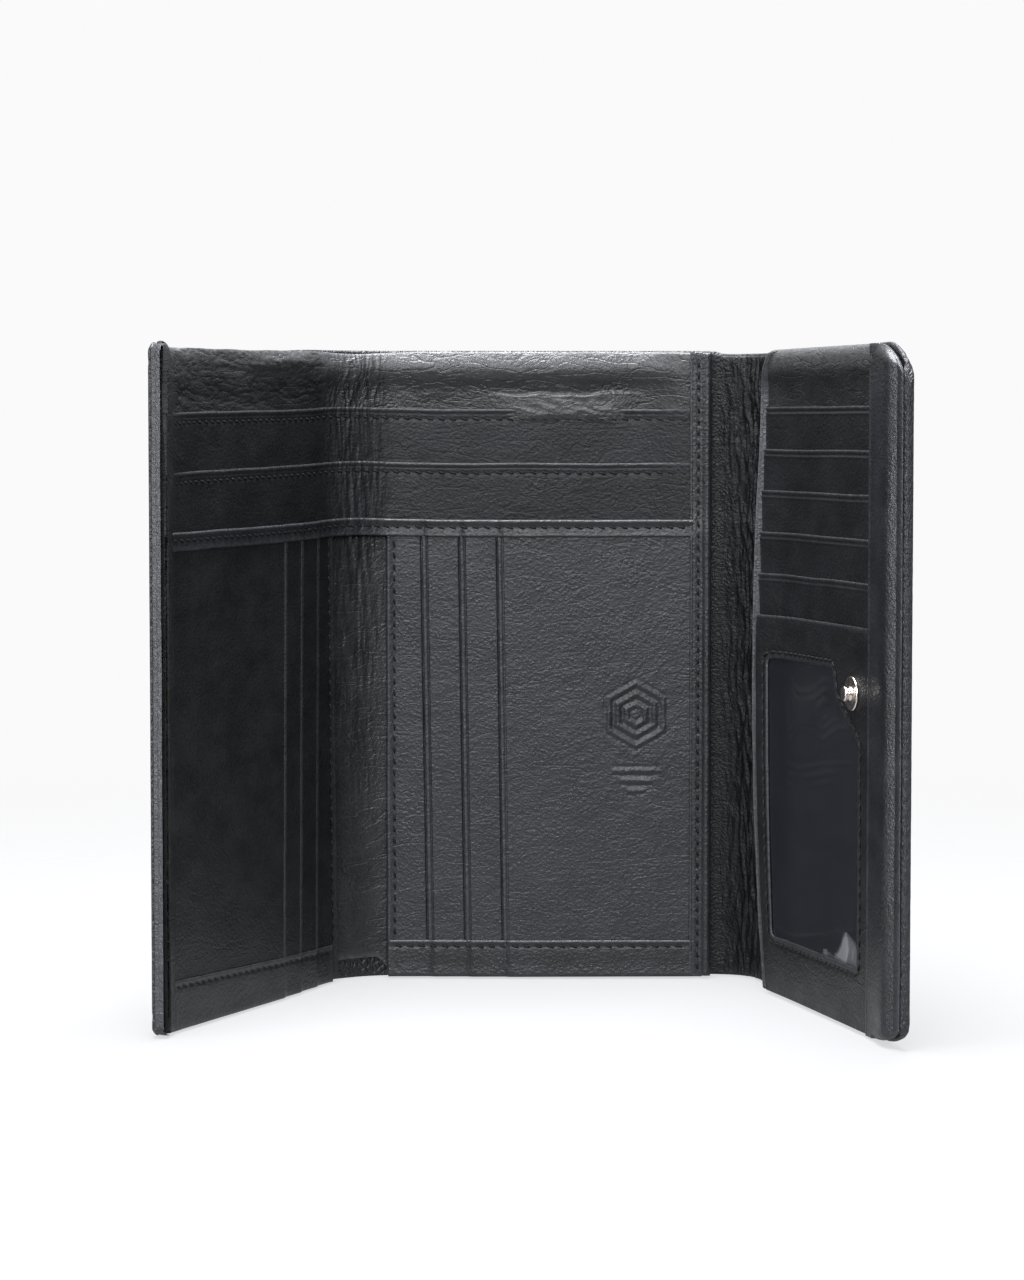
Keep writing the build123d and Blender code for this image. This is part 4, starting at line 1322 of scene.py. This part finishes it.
def film_front(g):
    slack = 0.55 * fractal(g.u / 24, g.v / 40, 141, 2)
    corner = bell(g.u, right(50), 12) * bell(g.v, 17, 7)
    return CAD["right_wing_id_window"].n1 + 0.25 * slack - 0.25 * corner * (0.4 + noise(g.u / 9, g.v / 8, 142))


piece, = panel("Window_film", lines(CAD["right_wing_id_window"].u0, CAD["right_wing_id_window"].u1, 1.0),
               lines(CAD["right_wing_id_window"].v0, CAD["right_wing_id_window"].v1, 1.0),
               film_front, lambda g: film_front(g) - 0.2, rims={"l": 0.1, "r": 0.1, "b": 0.1, "t": 0.1})
finish_piece(piece, FILM, ("right_wing_id_window",), body="right_wing")


# ---------------------------------------------------------------- hinge edge: two turned edges side by side
PIPING_TOP = CAD["right_wing_hinge_piping"].n1


def piping_front(g):
    inset = g.a - RIGHT_IN
    beads = 1.0 * bell(inset, 0.42, 0.33) + 0.75 * bell(inset, 1.35, 0.24)
    roll = 0.75 * bell(g.v, HEIGHT - 4.6, 3.2) + 0.45 * step(g.v, HEIGHT - 20, HEIGHT - 8)
    return PIPING_TOP - 0.62 + beads + roll + 0.15 * noise(g.v / 12, inset / 3, 150)


def piping_uv(a, b):
    # The top turns over into the lining's roll
    return a + 3.2 * step(b, HEIGHT - 10, HEIGHT + 2) + 0.2 * noise(b / 9, 0.0, 151), b


# The two bead crests are painted pale: painted highlights
piece, = panel("Hinge_edges", lines(RIGHT_IN, RIGHT_IN + 1.75, 0.12, rim=0.3), lines(0.6, HEIGHT - 0.6, 1.0),
               piping_front, PIPING_TOP - 1.3, piping_uv, rims={"l": 0.5, "r": 0.35, "b": 0.6, "t": 1.2},
               worn=lambda g: 0.8 * bell(g.a, RIGHT_IN + 0.5, 0.3) + 0.6 * bell(g.a, RIGHT_IN + 1.35, 0.25))
finish_piece(piece, TRIM, ("right_wing_hinge_piping",), body="right_wing")


# ---------------------------------------------------------------- padded border of the right flap
BORDER_IN, BORDER_OUT = CAD["right_wing_border_binding"].u0 + 1.0, CAD["right_wing_border_binding"].u1 + 0.5
BORDER_TOP = CAD["right_wing_border_binding"].n1


def border_front(g):
    inset = g.u - BORDER_IN
    width = BORDER_OUT - BORDER_IN
    flat = ID_FRONT + 0.35 + groove(inset - 1.0, 0.3, 0.12)
    rise = 1.2 * step(inset, 1.6, 12.0) - 1.5 * step(inset, 11.5, width)
    waves = 0.1 * noise(g.v / 11, inset / 8, 160) + 0.12 * noise(g.v / 33, 0.5, 161)
    return flat + rise + waves * step(inset, 2, 6)


def border_back(g):
    inset = g.u - BORDER_IN
    return 1.4 + (ID_FRONT + 0.04 - 1.4) * (1 - step(inset, 3.5, 4.2))


def border_uv(a, b):
    wave = 0.25 * noise(b / 26, 0.0, 162)
    return a + wave * step(a, BORDER_IN + 9, BORDER_OUT), corner_squeeze(a, b, RIGHT_TIP - 0.3, RIGHT_CORNER, 1,
                                                                         CORNER_WIDTH, CORNER_LOW)


border = upright_band("Padded_border", BORDER_IN, BORDER_OUT, border_front, border_back,
                      {"l": 0.35, "r": 4.6, "b": 1.4, "t": 2.0}, TRIM,
                      ("right_wing_border_binding", "right_wing_border_padding"), "right_wing",
                      [(BORDER_IN + 1.0, 1.0), (BORDER_OUT - 2.4, 2.4)], border_uv)

# Stitches round the window, and a row in the groove between the border and the cover's turned edge
EDGE_ROW = RIGHT_TIP - 1.15


def edge_front(g):
    return 0.62 + 0.35 * bell(g.u, RIGHT_TIP - 0.6, 0.5) + stitch_dent(g.u - EDGE_ROW + 0.7) * 0.5


edge_run = np.linspace(12, HEIGHT - 12, 60)
right_rows = [
    window_row,
    (np.stack([np.full(60, BORDER_OUT + 0.25), edge_run], -1), lambda u, v: 2.6, 6),
]
thread_piece("Seam_stitches_right", right_rows, ("right_wing_seam_threads",), body="right_wing", seed=11)


# ---------------------------------------------------------------- snap
def turned(name, u, v, profile, material, slot, nodes, body, sides=64):
    """A turned metal part about a line through the leather. profile lists (radius, level)."""
    profile = np.array(profile, float)
    turn = np.arange(sides) * 2 * math.pi / sides
    radius = profile[:, 0][:, None]
    co = place(u + radius * np.cos(turn) * 0, v + radius * 0 * turn, profile[:, 1][:, None] + 0 * turn) / MM
    across = np.append(along(HEADING[body]), 0)
    co = co + radius[..., None] * (np.cos(turn)[None, :, None] * across
                                   + np.sin(turn)[None, :, None] * np.array([0, 0, 1.0]))
    rings = len(profile)
    faces = []
    for ring in range(rings - 1):
        for side in range(sides):
            p, q = ring * sides + side, ring * sides + (side + 1) % sides
            faces.append([p, q, q + sides, p + sides])
    faces.append([side for side in reversed(range(sides))])
    faces.append([(rings - 1) * sides + side for side in range(sides)])
    piece = make_object(name, co.reshape(-1, 3) * MM, faces)
    return finish_piece(piece, material, nodes, body=body)


def arc(centre_r, centre_n, radius, start, end, steps=7):
    return [(centre_r + radius * math.cos(math.radians(a)), centre_n + radius * math.sin(math.radians(a)))
            for a in np.linspace(start, end, steps)]


stud, base = CAD["snap_stud"], CAD["snap_stud_base"]
stud_u, stud_v = (base.u0 + base.u1) / 2, (base.v0 + base.v1) / 2
base_r, neck_r, head_r = (base.u1 - base.u0) / 2, 1.2, 1.65
level = base.n0
turned("Snap_stud_base", stud_u, stud_v,
       [(0.8, level), (base_r - 0.25, level)] + arc(base_r - 0.3, level + 0.3, 0.3, -60, 90)
       + [(base_r - 0.9, level + 0.5), (base_r - 1.5, level + 0.32), (2.1, level + 0.36), (1.7, level + 0.62),
          (1.3, level + 0.66), (0.8, level + 0.66)],
       NICKEL, "snap_metal", ("snap_stud_base",), "right_wing")
turned("Snap_stud", stud_u, stud_v,
       [(0.6, level + 0.5), (1.62, level + 0.62), (1.5, level + 0.8), (neck_r, level + 1.05), (neck_r - 0.05, level + 1.3)]
       + arc(head_r - 0.45, stud.n1 - 0.47, 0.45, -60, 70, 9) + [(0.6, stud.n1 + 0.0), (0.02, stud.n1 + 0.02)],
       NICKEL, "snap_metal", ("snap_stud",), "right_wing")

socket = CAD["snap_socket"]
socket_u, socket_v = (socket.u0 + socket.u1) / 2, (socket.v0 + socket.v1) / 2
socket_r, bore_r = (socket.u1 - socket.u0) / 2, 2.1
foot, face = socket.n1 - 0.02, socket.n0
turned("Snap_socket", socket_u, socket_v,
       [(bore_r, foot)] + [(bore_r, face + 0.5)] + arc(bore_r + 0.45, face + 0.45, 0.45, 180, 270, 6)
       + arc(socket_r - 1.9, face + 0.6, 0.6, 270, 360, 6) + [(socket_r - 1.25, foot - 0.75)]
       + arc(socket_r - 0.35, foot - 0.35, 0.35, 250, 360, 6) + [(socket_r, foot)],
       NICKEL, "snap_metal", ("snap_socket",), "left_wing")
for node, material in (("snap_socket_eyelet", NICKEL), ("snap_socket_spring", STEEL)):
    mesh = frame["nodes"][node].data
    mesh.materials.clear()
    mesh.materials.append(material)


COVER_PARTS = ((LEFT_TIP, U_LEFT_MID), (U_LEFT_MID, 0.0), (0.0, U_RIGHT_MID), (U_RIGHT_MID, RIGHT_TIP))
for number, (u0, u1) in enumerate(COVER_PARTS):
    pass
for number, (u0, u1) in enumerate(((LEFT_IN, U_LEFT_MID), (U_LEFT_MID, CENTRE_OUT))):
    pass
for number, (u0, u1) in enumerate(((GUSSET_IN, U_RIGHT_MID), (U_RIGHT_MID, GUSSET_OUT))):
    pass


# ---------------------------------------------------------------- studio
def area_light(name, spot, target, width, height, power):
    light = bpy.data.lights.new(name, "AREA")
    light.shape = "RECTANGLE"
    light.size, light.size_y = width * MM, height * MM
    light.energy = power
    light.color = (0.95, 0.97, 1.0)
    lamp = bpy.data.objects.new(name, light)
    lamp.location = Vector(spot) * MM
    lamp.rotation_euler = (Vector(target) * MM - lamp.location).to_track_quat("-Z", "Y").to_euler()
    bpy.context.scene.collection.objects.link(lamp)
    return lamp


def floor_material():
    """White paper that gives back most of the light, and fades into the backdrop with distance."""
    m = bpy.data.materials.new("Studio_floor")
    m.use_nodes = True
    tree = m.node_tree
    shader = tree.nodes["Principled BSDF"]
    shader.inputs["Base Color"].default_value = (0.11, 0.11, 0.112, 1)
    shader.inputs["Roughness"].default_value = 0.8
    shader.inputs["Specular IOR Level"].default_value = 0.1
    shader.inputs["Emission Color"].default_value = (0.985, 0.985, 1.0, 1)
    path = tree.nodes.new("ShaderNodeLightPath")
    glow = tree.nodes.new("ShaderNodeMapRange")
    glow.inputs["To Min"].default_value, glow.inputs["To Max"].default_value = FLOOR_GLOW * 0.55, FLOOR_GLOW
    tree.links.new(path.outputs["Is Camera Ray"], glow.inputs["Value"])
    tree.links.new(glow.outputs["Result"], shader.inputs["Emission Strength"])
    coords = tree.nodes.new("ShaderNodeTexCoord")
    length = tree.nodes.new("ShaderNodeVectorMath")
    length.operation = "LENGTH"
    tree.links.new(coords.outputs["Object"], length.inputs[0])
    fade = tree.nodes.new("ShaderNodeMapRange")
    fade.interpolation_type = "SMOOTHSTEP"
    fade.inputs["From Min"].default_value, fade.inputs["From Max"].default_value = 0.1, 0.55
    tree.links.new(length.outputs["Value"], fade.inputs["Value"])
    clear = tree.nodes.new("ShaderNodeBsdfTransparent")
    mix = tree.nodes.new("ShaderNodeMixShader")
    tree.links.new(fade.outputs["Result"], mix.inputs[0])
    tree.links.new(shader.outputs["BSDF"], mix.inputs[1])
    tree.links.new(clear.outputs["BSDF"], mix.inputs[2])
    tree.links.new(mix.outputs["Shader"], tree.nodes["Material Output"].inputs["Surface"])
    return m


FLOOR_GLOW = 0.64
FLOOR_HALF = 6.0
floor_mesh = bpy.data.meshes.new("Studio_floor")
floor_steps = 24
floor_co = [(-FLOOR_HALF + 2 * FLOOR_HALF * i / floor_steps, -FLOOR_HALF + 2 * FLOOR_HALF * j / floor_steps, -0.0002)
            for i in range(floor_steps + 1) for j in range(floor_steps + 1)]
floor_faces = [(i * (floor_steps + 1) + j, (i + 1) * (floor_steps + 1) + j,
                (i + 1) * (floor_steps + 1) + j + 1, i * (floor_steps + 1) + j + 1)
               for i in range(floor_steps) for j in range(floor_steps)]
floor_mesh.from_pydata(floor_co, [], floor_faces)
floor_mesh.materials.append(floor_material())
floor = bpy.data.objects.new("Studio_floor", floor_mesh)
bpy.context.scene.collection.objects.link(floor)

def studio_world():
    """A white backdrop to look at, and a room that is lit from above and behind and dim in front."""
    world = bpy.data.worlds.new("Studio")
    world.use_nodes = True
    tree = world.node_tree
    seen = tree.nodes["Background"]
    seen.inputs["Color"].default_value = (0.955, 0.955, 0.955, 1)
    room = tree.nodes.new("ShaderNodeBackground")
    coords = tree.nodes.new("ShaderNodeTexCoord")
    parts = tree.nodes.new("ShaderNodeSeparateXYZ")
    tree.links.new(coords.outputs["Generated"], parts.inputs["Vector"])
    terms = []
    for axis, low, high, amount in (("Y", -0.1, 0.8, 0.42), ("Z", 0.1, 1.0, 0.95)):
        ramp = tree.nodes.new("ShaderNodeMapRange")
        ramp.interpolation_type = "SMOOTHSTEP"
        for label, number in zip(("From Min", "From Max", "To Min", "To Max"), (low, high, 0.05, amount)):
            ramp.inputs[label].default_value = number
        tree.links.new(parts.outputs[axis], ramp.inputs["Value"])
        terms.append(ramp.outputs["Result"])
    total = tree.nodes.new("ShaderNodeMath")
    tree.links.new(terms[0], total.inputs[0])
    tree.links.new(terms[1], total.inputs[1])
    tree.links.new(total.outputs["Value"], room.inputs["Strength"])
    path = tree.nodes.new("ShaderNodeLightPath")
    mix = tree.nodes.new("ShaderNodeMixShader")
    tree.links.new(path.outputs["Is Camera Ray"], mix.inputs[0])
    tree.links.new(room.outputs["Background"], mix.inputs[1])
    tree.links.new(seen.outputs["Background"], mix.inputs[2])
    tree.links.new(mix.outputs["Shader"], tree.nodes["World Output"].inputs["Surface"])
    bpy.context.scene.world = world


studio_world()
area_light("Key_light", (-60, -1000, 480), (0, -20, 70), 760, 420, 8.6)
area_light("Left_strip", (-950, -560, 260), (-40, -60, 70), 150, 900, 8.0)
area_light("Right_strip", (950, -620, 260), (40, -60, 70), 150, 900, 3.5)
area_light("Top_light", (-30, -20, 800), (0, -30, 60), 760, 340, 20.0)

camera_data = bpy.data.cameras.new("Camera")
camera_data.lens = 97.98
camera_data.sensor_width = 36
camera = bpy.data.objects.new("Camera", camera_data)
camera.location = Vector((-27.4, -805.9, 126.93)) * MM
camera.rotation_euler = (math.radians(90 - 3.46), 0, math.radians(-1.14))
bpy.context.scene.collection.objects.link(camera)
bpy.context.scene.camera = camera
bpy.context.scene.view_settings.view_transform = "Standard"
